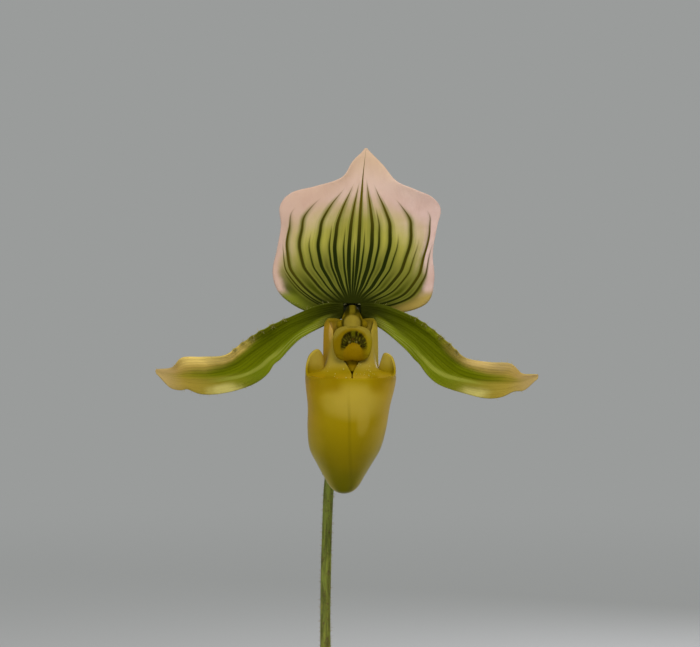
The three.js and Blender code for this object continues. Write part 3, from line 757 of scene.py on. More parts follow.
look, shader, start = finish(
    "hairy stem", Roughness=0.6, Specular_IOR_Level=0.2, Subsurface_Weight=0.1, Subsurface_Scale=0.001,
)
place = start.place()
hair = start.kept("hair", "Fac")
streak = place.stretch(1, 1, 0.12).noise(1100, 3)
height = place.split()[2]
flush = (place.noise(60, 3) - 0.5) * 0.1 + height.smooth(0.3, 0.14) * 0.4
skin = streak.smooth(0.35, 0.65).mix(tint("525e14"), tint("7f8b30"))
skin = (flush + place.noise(900, 3).smooth(0.55, 0.7) * 0.5).mix(skin, tint("4a2f22"))
skin = hair.mix(skin, tint("8f7d48"))
# Painted shade: the ovary's front end, tucked in among the bases of the petals and column, is painted near
# black.
seat = from_bloom(place)[1].smooth(-3, -1)
seat.mix(skin, tint("1a1e04")).feed(shader, "Base Color")
streak.raise_on(shader, 0.4, 0.0002)
path = curve(bloom([
    (-6.1, -20, -46.4), (-7.3, -19.6, -60), (-8, -18.2, -100),
    (-6.6, -16.4, -150), (-4.6, -15.2, -188), (-4, -15, -213.5),
]))
thick = lambda s, angle: SCAPE_RADIUS * (1 + 0.12 * s) * (1 + 0.02 * np.sin(40 * s + 2 * angle))
scape = solid_of("hairy_scape", *stalk(path, thick, 130, 20), look)
fur = {"hairs": 1.6e6, "long": 0.0011, "thick": 0.00005, "spread": 0.5}
sprout(scape, "stem hairs", look, hairy, **fur, rim=-1.0, seed=3)
fix(scape, "scape", "scape")


# Ovary. The long six-ribbed seed case behind the bloom, with the skin of the scape that it stands
# on. It arches over and holds the bloom forward.
def profile(values):
    """A number that changes smoothly along evenly spaced values."""
    line = curve([[value] for value in values], eased=True)
    return lambda s: line(np.asarray(s, float))[..., 0]


path = curve(bloom([
    (0, 0, -0.7), (0, -6.5, -1.3), (-0.6, -13.5, -6.6),
    (-2.2, -17.8, -18), (-4.2, -19.5, -32), (-5.9, -20, -46),
]))
reach = profile([3.2, 2.5, 2.7, 2.8, 2.6, 2.1, 1.65])
ribbed = lambda s, angle: reach(s) * (1 + 0.05 * np.cos(6 * angle) - 0.03 * np.cos(12 * angle))
ovary = solid_of("ribbed_ovary", *stalk(path, ribbed, 90, 60), look)
sprout(ovary, "ovary hairs", look, hairy, **fur, rim=-1.0, seed=4)
fix(ovary, "ovary", "ovary")


# Bract. A small papery sheath, folded round the foot of the ovary, green with darker veins and a
# fringe of hairs.
def bract_surface(s, t):
    angle = t * profile([2.5, 1.9, 1.2, 0.15])(s)
    reach = profile([2.5, 2.8, 3.3, 3.2])(s)
    axis = curve(bloom([(-6.2, -20, -50), (-5.4, -20.2, -42), (-4.4, -20.9, -32), (-3.1, -22.8, -22)]))
    return axis(s) + np.stack([np.sin(angle) * reach, np.cos(angle) * reach, 0 * s], -1)


def thin_rimmed(most):
    """A sheet's thickness, full along its middle and thin at its rims and its tip."""
    rim = lambda t: 0.22 + 0.78 * np.sqrt(np.maximum(1 - np.abs(t) ** 6, 0))
    return lambda s, t: most * rim(t) * (0.4 + 0.6 * smoothstep(s, 1, 0.94))


look, shader, start = finish("bract", Roughness=0.55, Subsurface_Weight=0.15, Subsurface_Scale=0.001)
t, s, _ = start.kept("lay").split()
hair = start.kept("hair", "Fac")
place = start.place()
lines = (t * 34).math("SINE").smooth(0.2, 0.9)
skin = lines.mix(tint("8b9450"), tint("55602a"))
skin = (place.noise(500, 3).smooth(0.45, 0.68) * s.smooth(0.7, 0.1) * 0.6).mix(skin, tint("5e3430"))
hair.mix(skin, tint("a8987a")).feed(shader, "Base Color")
lines.raise_on(shader, 0.4, 0.0002)
bract = shell("folded_bract", bract_surface, 60, 40, thin_rimmed(0.7), look)
sprout(bract, "bract hairs", look, hairy, **fur, rim=0.9, seed=6)
fix(bract, "bract", "bract")


# Synsepal. The two lower sepals, grown into one sheet, hang behind the pouch from the foot of the
# bloom. They are pale green with darker veins and a fringe of short hairs.
PETAL_THICKNESS = 0.8  # of each sepal and petal, in its middle


def tepal(rim_a, midrib, rim_b, ripple, waves):
    """A sheet stretched between a rim either side and its midrib, with ripples along its rims."""
    lines = [curve(bloom(line)) for line in (rim_a, midrib, rim_b)]

    def surface(s, t):
        a, m, b = (line(s) for line in lines)
        made = m + (b - a) * (t / 2)[..., None] + ((a + b) / 2 - m) * (t * t)[..., None]
        swell = ripple * np.abs(t) ** 3 * np.sin(np.pi * s)
        made[..., 1] -= swell * np.sin(2 * np.pi * waves * s + np.where(t > 0, 2, 0))
        return made

    return surface


def vein_line(start):
    """A mask of the veins, how far off the nearest one is, its half width, and how far it runs
    on. The mesh keeps each vein's number, run and half width as vein."""
    number, run, half = start.kept("vein").split()
    off = abs((number + 0.5).math("FRACT") - 0.5)
    drawn = half * run.smooth(-0.06, 0.25)
    return (off - drawn).smooth(0.07, -0.04) * run.smooth(-0.03, 0.05), off, half, run


look, shader, start = finish(
    "green veined sepal", Roughness=0.5, Subsurface_Weight=0.2, Subsurface_Scale=0.0015,
)
t, s, _ = start.kept("lay").split()
hair = start.kept("hair", "Fac")
place = start.place()
line = vein_line(start)[0]
skin = place.noise(120, 3).mix(tint("a9ad72"), tint("bfbd8b"))
skin = (s.smooth(0.35, 0.0) * 0.7).mix(skin, tint("7f8a32"))
skin = abs(t).smooth(0.55, 1.0).mix(skin, tint("c9c29a"))
skin = (line * 0.85).mix(skin, tint("4f6418"))
hair.mix(skin, tint("cfc6a4")).feed(shader, "Base Color")
(line + place.noise(900, 3) * 0.5).raise_on(shader, 0.3, 0.0003)
synsepal_surface = tepal(
    [(-2.6, -0.4, -4.1), (-6.2, -2.6, -10), (-8.6, -4.4, -19), (-8.8, -5.6, -28), (-6, -6.6, -36),
     (-1.2, -7, -42.6)],
    [(0, -0.7, -4.3), (0, -3.6, -10), (-0.3, -6, -19), (-0.6, -7.4, -28), (-0.8, -7.6, -36),
     (-0.9, -7, -43)],
    [(2.6, -0.4, -4.1), (6.2, -2.6, -10), (8.2, -4.4, -19), (8, -5.6, -28), (4.8, -6.6, -36),
     (-0.5, -7, -42.6)],
    ripple=0.5, waves=3,
)
even_veins = lambda s, t, middle: {"vein": (t * 4.6, 0.97 - 0.25 * np.abs(t) - s, 0.2 - 0.1 * s)}
flat = thin_rimmed(PETAL_THICKNESS)
synsepal = shell("joined_lower_sepals", synsepal_surface, 110, 60, flat, look, marks=even_veins)
fur = {"long": 0.0007, "thick": 0.00004, "spread": 0.5}
sprout(synsepal, "sepal hairs", look, hairy, hairs=2.2e6, **fur, rim=0.93, seed=8)
fix(synsepal, "synsepal", "synsepal")


# Dorsal sepal. The broad upright sepal, wavy at its shoulders, drawn out to a tip. Its flesh is
# cream flushed with pink, green towards the foot, and is ribbed by dark veins that fan out,
# curve up and thin away before its rim; only the middle one reaches the tip.
FAN_OUT = 1.13  # the rims, where the outermost veins lie within 1
VEINS = [
    (-0.97, 0.28, 0.3), (-0.95, 0.39, 0.5), (-0.90, 0.55, 0.6), (-0.73, 0.64, 0.65),
    (-0.60, 0.45, 0.4), (-0.48, 0.73, 0.8), (-0.33, 0.52, 0.45), (-0.26, 0.76, 0.95),
    (-0.14, 0.51, 0.45), (-0.07, 0.77, 1.0), (0.0, 0.45, 0.45), (0.05, 1.05, 1.05),
    (0.12, 0.50, 0.45), (0.22, 0.79, 1.0), (0.31, 0.62, 0.5), (0.45, 0.76, 0.9),
    (0.55, 0.45, 0.4), (0.71, 0.66, 0.7), (0.81, 0.41, 0.4), (0.93, 0.55, 0.6), (0.99, 0.39, 0.5),
]  # how far across it lies, how far up it ends, and its width, from the left
VEIN_BEND = (0.25, 0.38, 0.38, 0.18, 0.02, 0.07, 0.18, 0.25, 0.28, 0.3, 0.3)
VEIN_WIDTH = (0.9, 1.05, 1.15, 1.15, 1.05, 0.9, 0.72, 0.62, 0.54, 0.46, 0.35)  # mm, foot to tip
dorsal_surface = tepal(
    [(-2.2, 0.75, 1.25), (-11.5, -1, -1.4), (-20.4, -2.5, 3.4), (-23.2, -2.4, 9.9),
     (-21.9, -1.3, 17.2), (-20.7, 0, 23.8), (-20.9, 1.9, 29.6), (-17.4, 4, 33.4),
     (-10.4, 5.2, 35.2), (-3, 6, 37.5), (0.1, 6.8, 42), (3.7, 7.2, 45.6)],
    [(0, 0.75, 1.35), (0.2, 1.2, 8), (0.7, 2, 17.5), (1.5, 3.5, 27.5), (2.7, 5.5, 37), (4, 7.4, 45.9)],
    [(2.2, 0.75, 1.25), (11.5, -1, -1.6), (21.6, -2.8, 1.2), (24, -2.5, 8),
     (23.5, -1.3, 16), (24.7, 0.7, 23.6), (25.7, 2.9, 28.6), (23.3, 4.6, 31.9),
     (18.4, 5.4, 34), (12.8, 6, 36.5), (9, 6.8, 41), (4.4, 7.2, 45.6)],
    ripple=0.8, waves=2.5,
)
VEIN_AT, VEIN_END, VEIN_SIZE = np.array([(-FAN_OUT, 0.1, 0.2), *VEINS, (FAN_OUT, 0.1, 0.2)]).T


def dorsal_place(s, fan):
    """Where across the sepal a line of the fan runs."""
    lean = profile(VEIN_BEND)(s)
    inside = np.clip(fan, -1, 1)
    t = inside * (1 - lean * (1 - 0.5 * inside**4))
    return t + (fan - inside) / (FAN_OUT - 1) * lean / 2


def dorsal_fanned(s, t):
    return dorsal_surface(s, dorsal_place(s, t * FAN_OUT))


def dorsal_veins(s, t, middle):
    """Numbers the veins across the sepal, with how far each still runs and its half width there."""
    fan = t * FAN_OUT
    number = np.interp(fan, VEIN_AT, np.arange(len(VEIN_AT)))
    nearest = np.rint(number).astype(int)
    apart = np.gradient(middle, axis=1)
    apart = np.linalg.norm(apart, axis=-1) / np.maximum(np.gradient(number, axis=1), 1e-3)
    half = VEIN_SIZE[nearest] * profile(VEIN_WIDTH)(s) / 2 / np.maximum(apart, 0.05)
    return {
        "vein": (number, VEIN_END[nearest] - s, np.minimum(half, 0.42)),
        "fan": (fan, np.abs(dorsal_place(s, fan)), apart),
    }


look, shader, start = finish(
    "striped dorsal sepal", Roughness=0.6, Specular_IOR_Level=0.04, Subsurface_Weight=0.04,
    Subsurface_Radius=(0.8, 0.6, 0.2), Subsurface_Scale=0.0005,
)
_, s, face = start.kept("lay").split()
fan, t, apart = start.kept("fan").split()
hair = start.kept("hair", "Fac")
place = start.place()
line, off, half, run = vein_line(start)
cloud = place.noise(130, 4) - 0.5
rise = from_bloom(place)[2] + cloud * 3
green_to = 0.72 - abs(fan) ** 1.6 * 0.34
green = (s - green_to + cloud * 0.14).smooth(0.12, -0.2)
halo = ((off - half) * apart).smooth(1.2, 0.1) * run.smooth(-0.02, 0.15)
halo = halo * (s - green_to).smooth(0.2, 0.0)
flesh = cloud.smooth(-0.15, 0.15).mix(tint("caaaa0"), tint("d3b6ad"))
flesh = s.smooth(0.5, 0.9).mix(flesh, tint("d0b4a2"))
flesh = (fan.smooth(-0.2, -0.9) * 0.6).mix(flesh, tint("c0a088"))
flesh = s.smooth(0.78, 0.95).mix(flesh, tint("c8ab90"))
streak = place.stretch(1, 1, 0.3).noise(700, 3)
flesh = (streak.smooth(0.45, 0.7) * 0.15).mix(flesh, tint("b99488"))
ground = s.smooth(0.16, 0.45).mix(tint("3c4202"), tint("aba548"))
ground = (abs(fan).smooth(0.85, 0.25) * s.smooth(0.48, 0.22) * 0.95).mix(ground, tint("272d00"))
ground = (abs(fan + 0.05).smooth(0.6, 0.1) * s.smooth(0.35, 0.5) * 0.75).mix(ground, tint("888334"))
ground = s.smooth(0.55, 0.74).mix(ground, tint("a8925a"))
margin = (t + fan.smooth(0.5, 0.9) * 0.03 + cloud * 0.1).smooth(0.86, 0.96) * rise.smooth(2.5, 5.5)
flesh = (green * (1 - margin)).mix(flesh, ground)
flesh = (halo * 0.7 * (1 - margin)).mix(flesh, tint("74762a"))
foot = t.smooth(0.75, 0.95) * rise.smooth(6.0, 3.0)
flesh = (foot * 0.85).mix(flesh, fan.smooth(-0.5, 0.5).mix(tint("7d8426"), tint("b59c50")))
edged = (off - half * 0.7).smooth(0.18, 0.0) * run.smooth(-0.03, 0.15)
flesh = (edged * 0.65).mix(flesh, s.smooth(0.4, 0.75).mix(tint("4d5208"), tint("7a6c2a")))
dark = s.smooth(0.35, 0.78).mix(tint("1a2200"), tint("5a4f0c"))
dark = (abs(fan).smooth(0.5, 0.95) * s.smooth(0.1, 0.35) * 0.6).mix(dark, tint("5c500a"))
flesh = line.mix(flesh, dark)
flesh = (s + cloud * 0.05).smooth(0.17, 0.05).mix(flesh, tint("242900"))
back = (line * 0.6).mix((green * 0.7).mix(tint("cdb5a4"), tint("949a58")), tint("56661f"))
flesh = face.smooth(0.3, -0.3).mix(back, flesh)
hair.mix(flesh, tint("c9b2a4")).feed(shader, "Base Color")
relief = line * 0.8 + place.noise(800, 3) * 0.4 + place.stretch(1, 1, 0.2).noise(900, 2) * 0.5
relief.raise_on(shader, 0.35, 0.0004)
fans = np.concatenate([
    [low + (high - low) * w for w in (0, 0.13, 0.28, 0.5, 0.72, 0.87)]
    for low, high in zip(VEIN_AT, VEIN_AT[1:])
])
fans = np.append(fans, FAN_OUT) / FAN_OUT
dorsal = shell("striped_dorsal", dorsal_fanned, 170, fans, flat, look, marks=dorsal_veins)
sprout(dorsal, "rim hairs", look, hairy, hairs=1.4e6, **fur, rim=0.975, seed=9)
fix(dorsal, "dorsal", "dorsal_sepal")


# Petals. Two narrow petals droop either side, nearly black green at the foot. The dark band runs
# out along the upper half and thins away; the lower half is pale green with fine lines, the upper
# rim tan. Warts with tufts of hair stand along the upper rim, and hairs fringe both rims.
LEFT = {
    "rim_a": [
        (-2.5, 1.8, 1.6), (-9, 3.4, 1), (-18.5, 4.6, -2.9), (-25.8, 5.8, -6.5), (-31.6, 6.2, -10.1),
        (-36.6, 5.4, -13.7), (-43.5, 3.6, -14.2), (-49.2, 2, -14.4), (-52.3, 1.4, -17.2), (-57, 0.4, -17.8),
    ],
    "midrib": [
        (-2.5, 2, -1.1), (-9, 3, -2.9), (-16.4, 3.2, -5.6), (-22.2, 3.4, -9.4), (-27.6, 3.6, -13.6),
        (-33, 3.4, -17.6), (-39.4, 2.4, -19.6), (-46.6, 1, -20), (-52.2, 0.6, -19.8), (-57.2, 0.2, -18.4),
    ],
    "rim_b": [
        (-2.5, 1.8, -2.9), (-8.6, 4.8, -5.4), (-14.6, 5.8, -8.6), (-18.8, 6.8, -12.6), (-22.4, 7.2, -17),
        (-27.4, 6.4, -21.4), (-34.2, 5, -23.9), (-42.8, 3.1, -25), (-52, 1.3, -23.3), (-56.9, 0.4, -19.2),
    ],
}
RIGHT = {
    "rim_a": [
        (2.5, 1.8, -2.9), (8.2, 4.8, -5.9), (13, 5.8, -9.8), (16.6, 6.8, -13.3), (20, 7.2, -17.8),
        (26, 6.4, -22.3), (32.8, 5, -24.9), (40.2, 3.2, -26.2), (49, 1.2, -24.5), (54, 0.4, -20.6),
    ],
    "midrib": [
        (2.5, 2, -1.1), (8.6, 3, -2.9), (15, 3.2, -5.8), (20, 3.4, -9.4), (25, 3.6, -14),
        (30.4, 3.4, -18.4), (36.8, 2.4, -20.6), (43.6, 1, -21.2), (49, 0.6, -21.3), (54.2, 0.2, -19.8),
    ],
    "rim_b": [
        (2.5, 1.8, 1.6), (9, 3.4, 1), (17.4, 4.6, -2.4), (23.1, 5.8, -6), (27.9, 6.2, -10.2),
        (32.6, 5.4, -14.2), (39.6, 3.6, -15.6), (46, 2, -16.1), (49.6, 1.4, -19), (54.1, 0.4, -19.3),
    ],
}
WARTS = [
    (0.24, 0.97, 0.4), (0.29, 0.95, 0.55), (0.345, 0.98, 0.5), (0.395, 0.94, 0.7),
    (0.45, 0.98, 0.5), (0.5, 0.96, 0.55), (0.33, 0.66, 0.25), (0.43, 0.7, 0.3),
]  # how far along the petal each one stands, how far across it, and its height in mm
DENTS = {
    "left": [(0.43, 0.035, 0.1, 1), (0.83, 0.022, 0.2, 1), (0.9, 0.03, -0.08, 1)],
    "right": [(0.42, 0.04, 0.08, -1), (0.86, 0.03, 0.22, -1), (0.53, 0.05, -0.06, -1)],
}  # in a rim: how far along, how long, how deep, and which rim


def dented(surface, dents):
    """The same sheet, with its rims drawn in or out a little at places along them."""
    def drawn(s, t):
        for at, long, deep, rim in dents:
            t = t * (1 - deep * np.exp(-(((s - at) / long) ** 2)) * (t * rim > 0))
        return surface(s, t)

    return drawn


def warted(surface, upper):
    """The petal's surface, whose coordinate up, from -1 to 1, rises towards its upper rim."""
    middle_line = surface(np.linspace(0, 1, 300), np.zeros(300))
    long = np.linalg.norm(np.diff(middle_line, axis=0), axis=1).sum()

    def swollen(s, t):
        made = surface(s, t)
        lift = np.zeros_like(s)
        rim = surface(s, np.full_like(s, upper))
        broad = np.linalg.norm(rim - surface(s, -np.full_like(s, upper)), axis=-1) / 2
        for at, up, high in WARTS:
            away = np.hypot((s - at) * long, (t * upper - up) * broad)
            lift += high * np.exp(-((away / 0.75) ** 2))
        lift += 0.16 * np.sin(3.5 * np.pi * t) * np.sin(np.pi * s) * smoothstep(s, 1, 0.7)
        made[..., 1] -= lift
        made[..., 2] += 0.5 * lift
        return made

    return swollen


def petal_marks(upper):
    """What the petal's mesh keeps: its fine lines, its own coordinates and its warts."""
    def marks(s, t, middle):
        up = t * upper
        lines = up * 6.5 + 0.35 * np.sin(5 * s + 3 * up)
        wart = np.zeros_like(s)
        for at, high, size in WARTS:
            wart += size * np.exp(-(((s - at) / 0.014) ** 2 + ((up - high) / 0.12) ** 2))
        return {"vein": (lines, 1.02 - 0.12 * np.abs(up) - s, 0.17 + 0 * s), "petal": (up, s, wart)}

    return marks


look, shader, start = finish(
    "petal", Roughness=0.45, Specular_IOR_Level=0.12, Specular_Tint=(0.9, 1.0, 0.2, 1.0),
    Subsurface_Weight=0.05, Subsurface_Radius=(0.6, 0.7, 0.1), Subsurface_Scale=0.0005,
)
up, s, wart = start.kept("petal").split()
face = start.kept("lay").split()[2]
hair = start.kept("hair", "Fac")
place = start.place()
line = vein_line(start)[0]
cloud = place.noise(170, 4) - 0.5
low = s.smooth(0.24, 0.06) * 0.62 + s.smooth(0.42, 0.68) * 0.42 - 0.47
high = s.smooth(0.46, 0.27) * 0.7 + s.smooth(0.75, 0.5) * 0.15 + 0.3
# Painted highlight: a pale stripe along the ridge just below the dark band, in the middle of the petal.
ridge_highlight = (((up - low + 0.2) / 0.14) ** 2).smooth(1.0, 0.0) * s.smooth(0.3, 0.42) * s.smooth(0.74, 0.6)
pale = s.smooth(0.1, 0.2).mix(tint("565a06"), tint("606a0a"))
pale = s.smooth(0.5, 0.85).mix(pale, tint("8e7a2e"))
pale = (ridge_highlight * 0.8).mix(pale, tint("848832"))
far = s + cloud * 0.1
# Painted highlight: a cream gleam on the lower rim, about two thirds of the way out.
lower_rim_highlight = far.smooth(0.6, 0.68) * far.smooth(0.78, 0.7) * (up + cloud * 0.3).smooth(-0.4, -0.75)
pale = (lower_rim_highlight * 0.7).mix(pale, tint("b8ae68"))
fine = line * s.smooth(0.5, 0.25) * (up - low).smooth(-0.12, -0.3)
pale = (fine * 0.5).mix(pale, tint("8e9248"))
tan = s.smooth(0.36, 0.52).mix(tint("66680e"), tint("918030"))
tan = s.smooth(0.55, 0.7).mix(tan, tint("a28a42"))
# Painted highlight: a cream glow along the upper rim from the middle out, painted brighter and starting
# nearer the foot on the left petal, which lies more in shade.
leftward = place.split()[0].smooth(0.0, -0.01)
lit = (far + leftward * 0.07).smooth(0.42, 0.66) * (up + cloud * 0.3).smooth(0.5, 0.8)
tan = lit.mix(tan, leftward.mix(tint("bfa466"), tint("d6ba68")))
tan = s.smooth(0.74, 0.86).mix(tan, tint("a28745"))
above = up - high + cloud * 0.25
skin = above.smooth(-0.2, 0.25).mix(pale, tan)
skin = (s.smooth(0.8, 0.95) * 0.6).mix(skin, tint("ae9468"))
band = (up - low + cloud * 0.2).smooth(-0.17, 0.1) * above.smooth(0.25, -0.2)
band = band * (s + cloud * 0.15).smooth(0.98, 0.66)
dark = s.smooth(0.05, 0.3).mix(tint("1e2300"), tint("4d5500"))
dark = s.smooth(0.3, 0.6).mix(dark, tint("5a6200"))
dark = s.smooth(0.62, 0.82).mix(dark, tint("74700e"))
rim_green = s.smooth(0.1, 0.34).mix(tint("343a02"), tint("6c730e"))
dark = (up + cloud * 0.4).smooth(0.55, 1.0).mix(dark, rim_green)
skin = band.mix(skin, (line * 0.22).mix(dark, tint("262c00")))
skin = far.smooth(0.14, 0.03).mix(skin, tint("1c2000"))
skin = (wart.smooth(0.15, 0.5) * 0.6).mix(skin, tint("6a6420"))
back = (line * 0.5).mix(s.smooth(0, 0.7).mix(tint("5f6a1c"), tint("9b9050")), tint("56621f"))
skin = face.smooth(-0.3, 0.3).mix(back, skin)
hair.mix(skin, tint("989060")).feed(shader, "Base Color")
(place.noise(400, 2) * 0.2 + 0.33).feed(shader, "Roughness")
relief = line * 0.5 + place.noise(900, 3) * 0.5 + place.stretch(0.3, 1, 1).noise(1000, 2) * 0.4
relief.raise_on(shader, 0.4, 0.0004)


def tufted(host, hairs, long, thick, spread, seed):
    """A tuft of hairs on each wart, where the third number that petal keeps is high."""
    wart = marks_of(host, "petal")[2]
    return furred(host, wart.math("GREATER_THAN", 0.3) * hairs, long, thick, spread, seed)


fur = {"hairs": 1.6e6, "long": 0.0014, "thick": 0.00005, "spread": 0.6}
tuft = {"hairs": 4e6, "long": 0.0013, "thick": 0.00006, "spread": 0.5}
for name, lines, upper in (("left", LEFT, -1), ("right", RIGHT, 1)):
    surface = warted(dented(tepal(**lines, ripple=1.2, waves=4), DENTS[name]), upper)
    marks = petal_marks(upper)
    petal = shell(f"warty_petal_{name}", surface, 190, 60, flat, look, marks=marks)
    sprout(petal, f"{name} rim hairs", look, hairy, **fur, rim=0.97, seed=11)
    sprout(petal, f"{name} wart hairs", look, tufted, **tuft, seed=12)
    fix(petal, "petal", f"petal_{name}")


# Pouch. The third petal, blown into a slipper: smooth, waxy and yellow olive. Two ears stand up at
# the sides of its mouth, and between them its rims roll in as glistening lobes down to the throat.
POUCH = {"toe": -52.6, "brim": -20, "thickness": 0.9}
TOE_TO_BRIM = {
    "width": (0, 2.1, 3.8, 5.3, 7.3, 9.7, 10.8, 11.2, 12.3),
    "front": (0, 2.3, 3.8, 5.5, 7.8, 10, 11.6, 12.2, 11.5),
    "back": (0, 2.3, 3.8, 5.3, 7, 8.8, 10.2, 10.8, 10.3),
    "middle": (11, 11, 11.2, 11.5, 12, 12.6, 13, 13, 12.5),
    "shift": (-2.3, -2.3, -2.3, -2.3, -2.2, -2, -1.5, -0.9, -0.4),
}
FRONT_TO_BACK = {
    "edge": (-19.8, -19.8, -19.7, -19.5, -19, -17, -13.7, -12.4, -15.3, -17.2, -4.8, -3, -4.4),
    "lean": (0, 0, 0, 0, 0, 0, 0.2, 0.6, 1.7, 0, 0, 0, 0),
    "side": (0, 0.35, 0.66, 0.86, 0.98, 1.02, 0.95, 0.78, 0.66, 0.61, 0.6, 0.4, 0),
    "ahead": (1, 0.95, 0.82, 0.61, 0.34, 0.1, -0.1, -0.24, -0.33, -0.45, -0.6, -0.7, -1),
}
THROAT = ((5.6, 8.4, -6.6), (4.6, 10.7, -11.7), (2.1, 12.5, -15.4), (0.25, 14, -18.7), (0.25, 15.4, -20.8))


def brim_at(t):
    """The brim's height all round; the left ear stands a little higher than the right one."""
    edge, lean = (profile(FRONT_TO_BACK[key])(np.abs(t)) for key in ("edge", "lean"))
    return edge - np.sign(t) * lean


def pouch_surface(s, t):
    """The slipper, round from its toe upwards, then drawn in to a keyhole at its brim."""
    size = {key: profile(values) for key, values in TOE_TO_BRIM.items()}
    loop = {key: profile(values)(np.abs(t)) for key, values in FRONT_TO_BACK.items()}
    turn = np.abs(t) * np.pi
    up = POUCH["toe"] + (brim_at(t) - POUCH["toe"]) * s**1.5
    rise = (up - POUCH["toe"]) / (POUCH["brim"] - POUCH["toe"])
    level = np.sqrt(np.clip(rise, 0, 1))
    keyhole = smoothstep(level, 0.6, 1)
    aside = np.sin(turn) + (loop["side"] - np.sin(turn)) * keyhole
    ahead = np.cos(turn) + (loop["ahead"] - np.cos(turn)) * keyhole
    depth = np.where(ahead > 0, size["front"](level), size["back"](level))
    right = size["shift"](level) + np.sign(t) * aside * size["width"](level)
    return bloom(np.stack([right, size["middle"](level) + ahead * depth, up], -1))


def lobe_surface(side):
    """The infolded rim on one side, stretched from the brim to the edge of the throat."""
    inner = curve(bloom(np.array(THROAT) * [side, 1, 1]))

    def surface(s, t):
        loop = 0.86 - 0.44 * s**0.8
        edge = brim_at(side * loop)
        low = np.minimum(edge - 0.4, -17.9 - 1.2 * s)
        up = low + (edge - 0.4 - low) * smoothstep(loop, 0.75, 0.83)
        rim = pouch_surface(((up - POUCH["toe"]) / (edge - POUCH["toe"])) ** (2 / 3), side * loop)
        w = ((t + 1) / 2)[..., None]
        made = rim * (1 - w) + inner(s) * w
        made[..., 2] += (0.9 - 1.6 * s) * (1 - t * t)
        return made

    return surface


def oval(x, up, middle, reach):
    """0 in the middle of an oval, 1 at its edge and more outside it."""
    return ((x - middle[0]) / reach[0]) ** 2 + ((up - middle[1]) / reach[1]) ** 2


look, shader, start = finish(
    "waxy pouch", Roughness=0.36, Specular_IOR_Level=0.12, Specular_Tint=(1.0, 0.9, 0.1, 1.0),
    Subsurface_Weight=0.1, Subsurface_Radius=(0.9, 0.7, 0.1), Subsurface_Scale=0.0008,
)
place = start.place()
bead = start.kept("bead", "Fac")
round_it = abs(start.kept("lay").split()[0])  # 0 at the front, 1 at the back
x, ahead, z = from_bloom(place)
cloud = place.noise(110, 4) - 0.5
# Darker towards the toe: the greener tone there is the pouch's own, the darkening downwards is painted
# shade under the light from above.
skin = (z + cloud * 6).smooth(-52.5, -42).mix(tint("625e06"), tint("7c6c04"))
skin = (z + cloud * 4).smooth(-44, -31).mix(skin, tint("8b7606"))
# Painted light: the ears and the lobes above the brim are painted paler, for light shining through their
# thin tissue.
skin = (z + cloud * 3).smooth(-18.5, -15).mix(skin, tint("a08c34"))
# Painted highlight: a broad soft pool of light on the upper front of the pouch.
front_highlight = oval(x + cloud * 5, z, (0.5, -26.3), (9.5, 5.6)).smooth(1.3, 0.0)
skin = (front_highlight * 0.52).mix(skin, tint("ab9740"))
# Painted highlight: a paler upright streak on the front, below the pool of light and right of the middle.
highlight_streak = oval(x + cloud * 3, z, (2.8, -31.5), (2.2, 5)).smooth(1.2, 0.1)
skin = (highlight_streak * 0.5).mix(skin, tint("a18c32"))
# Painted shade: a darker band under the front of the brim, where the rim rolls over, left out in the
# middle.
band = (z + cloud * 1.5).smooth(-25, -22) * (z + cloud * 0.8).smooth(-18.9, -20.0)
band = band * abs(x - 1.2 + cloud * 2).smooth(2.5, 6.0)
skin = (band * 0.75).mix(skin, tint("7e6600"))
crease = abs(x + 0.9 + (z + 30) * 0.03 + cloud * 0.6).smooth(0.75, 0.1) * z.smooth(-22, -30)
skin = (crease * 0.22).mix(skin, tint("564e02"))
# The flanks, paler and warmer as they turn to the back: partly the pouch's own tone there, partly painted
# light that makes up for the shade they fall into as they turn from the lamp; warmer on the left.
sides = (round_it + cloud * 0.2).smooth(0.13, 0.4) * z.smooth(-18, -22)
flank = x.smooth(-6, 6).mix(tint("ae8610"), tint("bd9c3a"))
skin = (sides * 0.8).mix(skin, z.smooth(-46, -24).mix(tint("98892a"), flank))
pillar = ahead.smooth(10.5, 8) * z.smooth(-18.5, -15)
skin = (pillar * 0.4).mix(skin, tint("8c7c20"))
skin = (pillar * x.smooth(-3.5, -6) * 0.75).mix(skin, tint("8c680e"))
skin = ((z + cloud).smooth(-6, -3.4) * pillar * 0.85).mix(skin, tint("68590a"))
# Painted highlight: a pale streak down the left pillar.
pillar_highlight = oval(x + cloud, z, (-6.2, -7), (0.7, 3)).smooth(1.3, 0.1) * pillar
skin = (pillar_highlight * 0.55).mix(skin, tint("b8985a"))
freckle = place.noise(1300, 2).smooth(0.66, 0.72) * z.smooth(-21, -17) * ahead.smooth(14, 9)
skin = (freckle * 0.25).mix(skin, tint("6b5208"))
# The glands are paler than the skin: partly their own tone, partly a painted glint.
bead.mix(skin, tint("b2a24e")).feed(shader, "Base Color")
(cloud * 0.2 + 0.36 - bead * 0.25).feed(shader, "Roughness")
place.noise(600, 3).raise_on(shader, 0.12, 0.0003)
rim_thin = lambda s, t: POUCH["thickness"] * (0.45 + 0.55 * np.sqrt(1 - s**8 * 0.9))
pouch = shell("slipper_pouch", pouch_surface, 90, 176, rim_thin, look, looped=True)


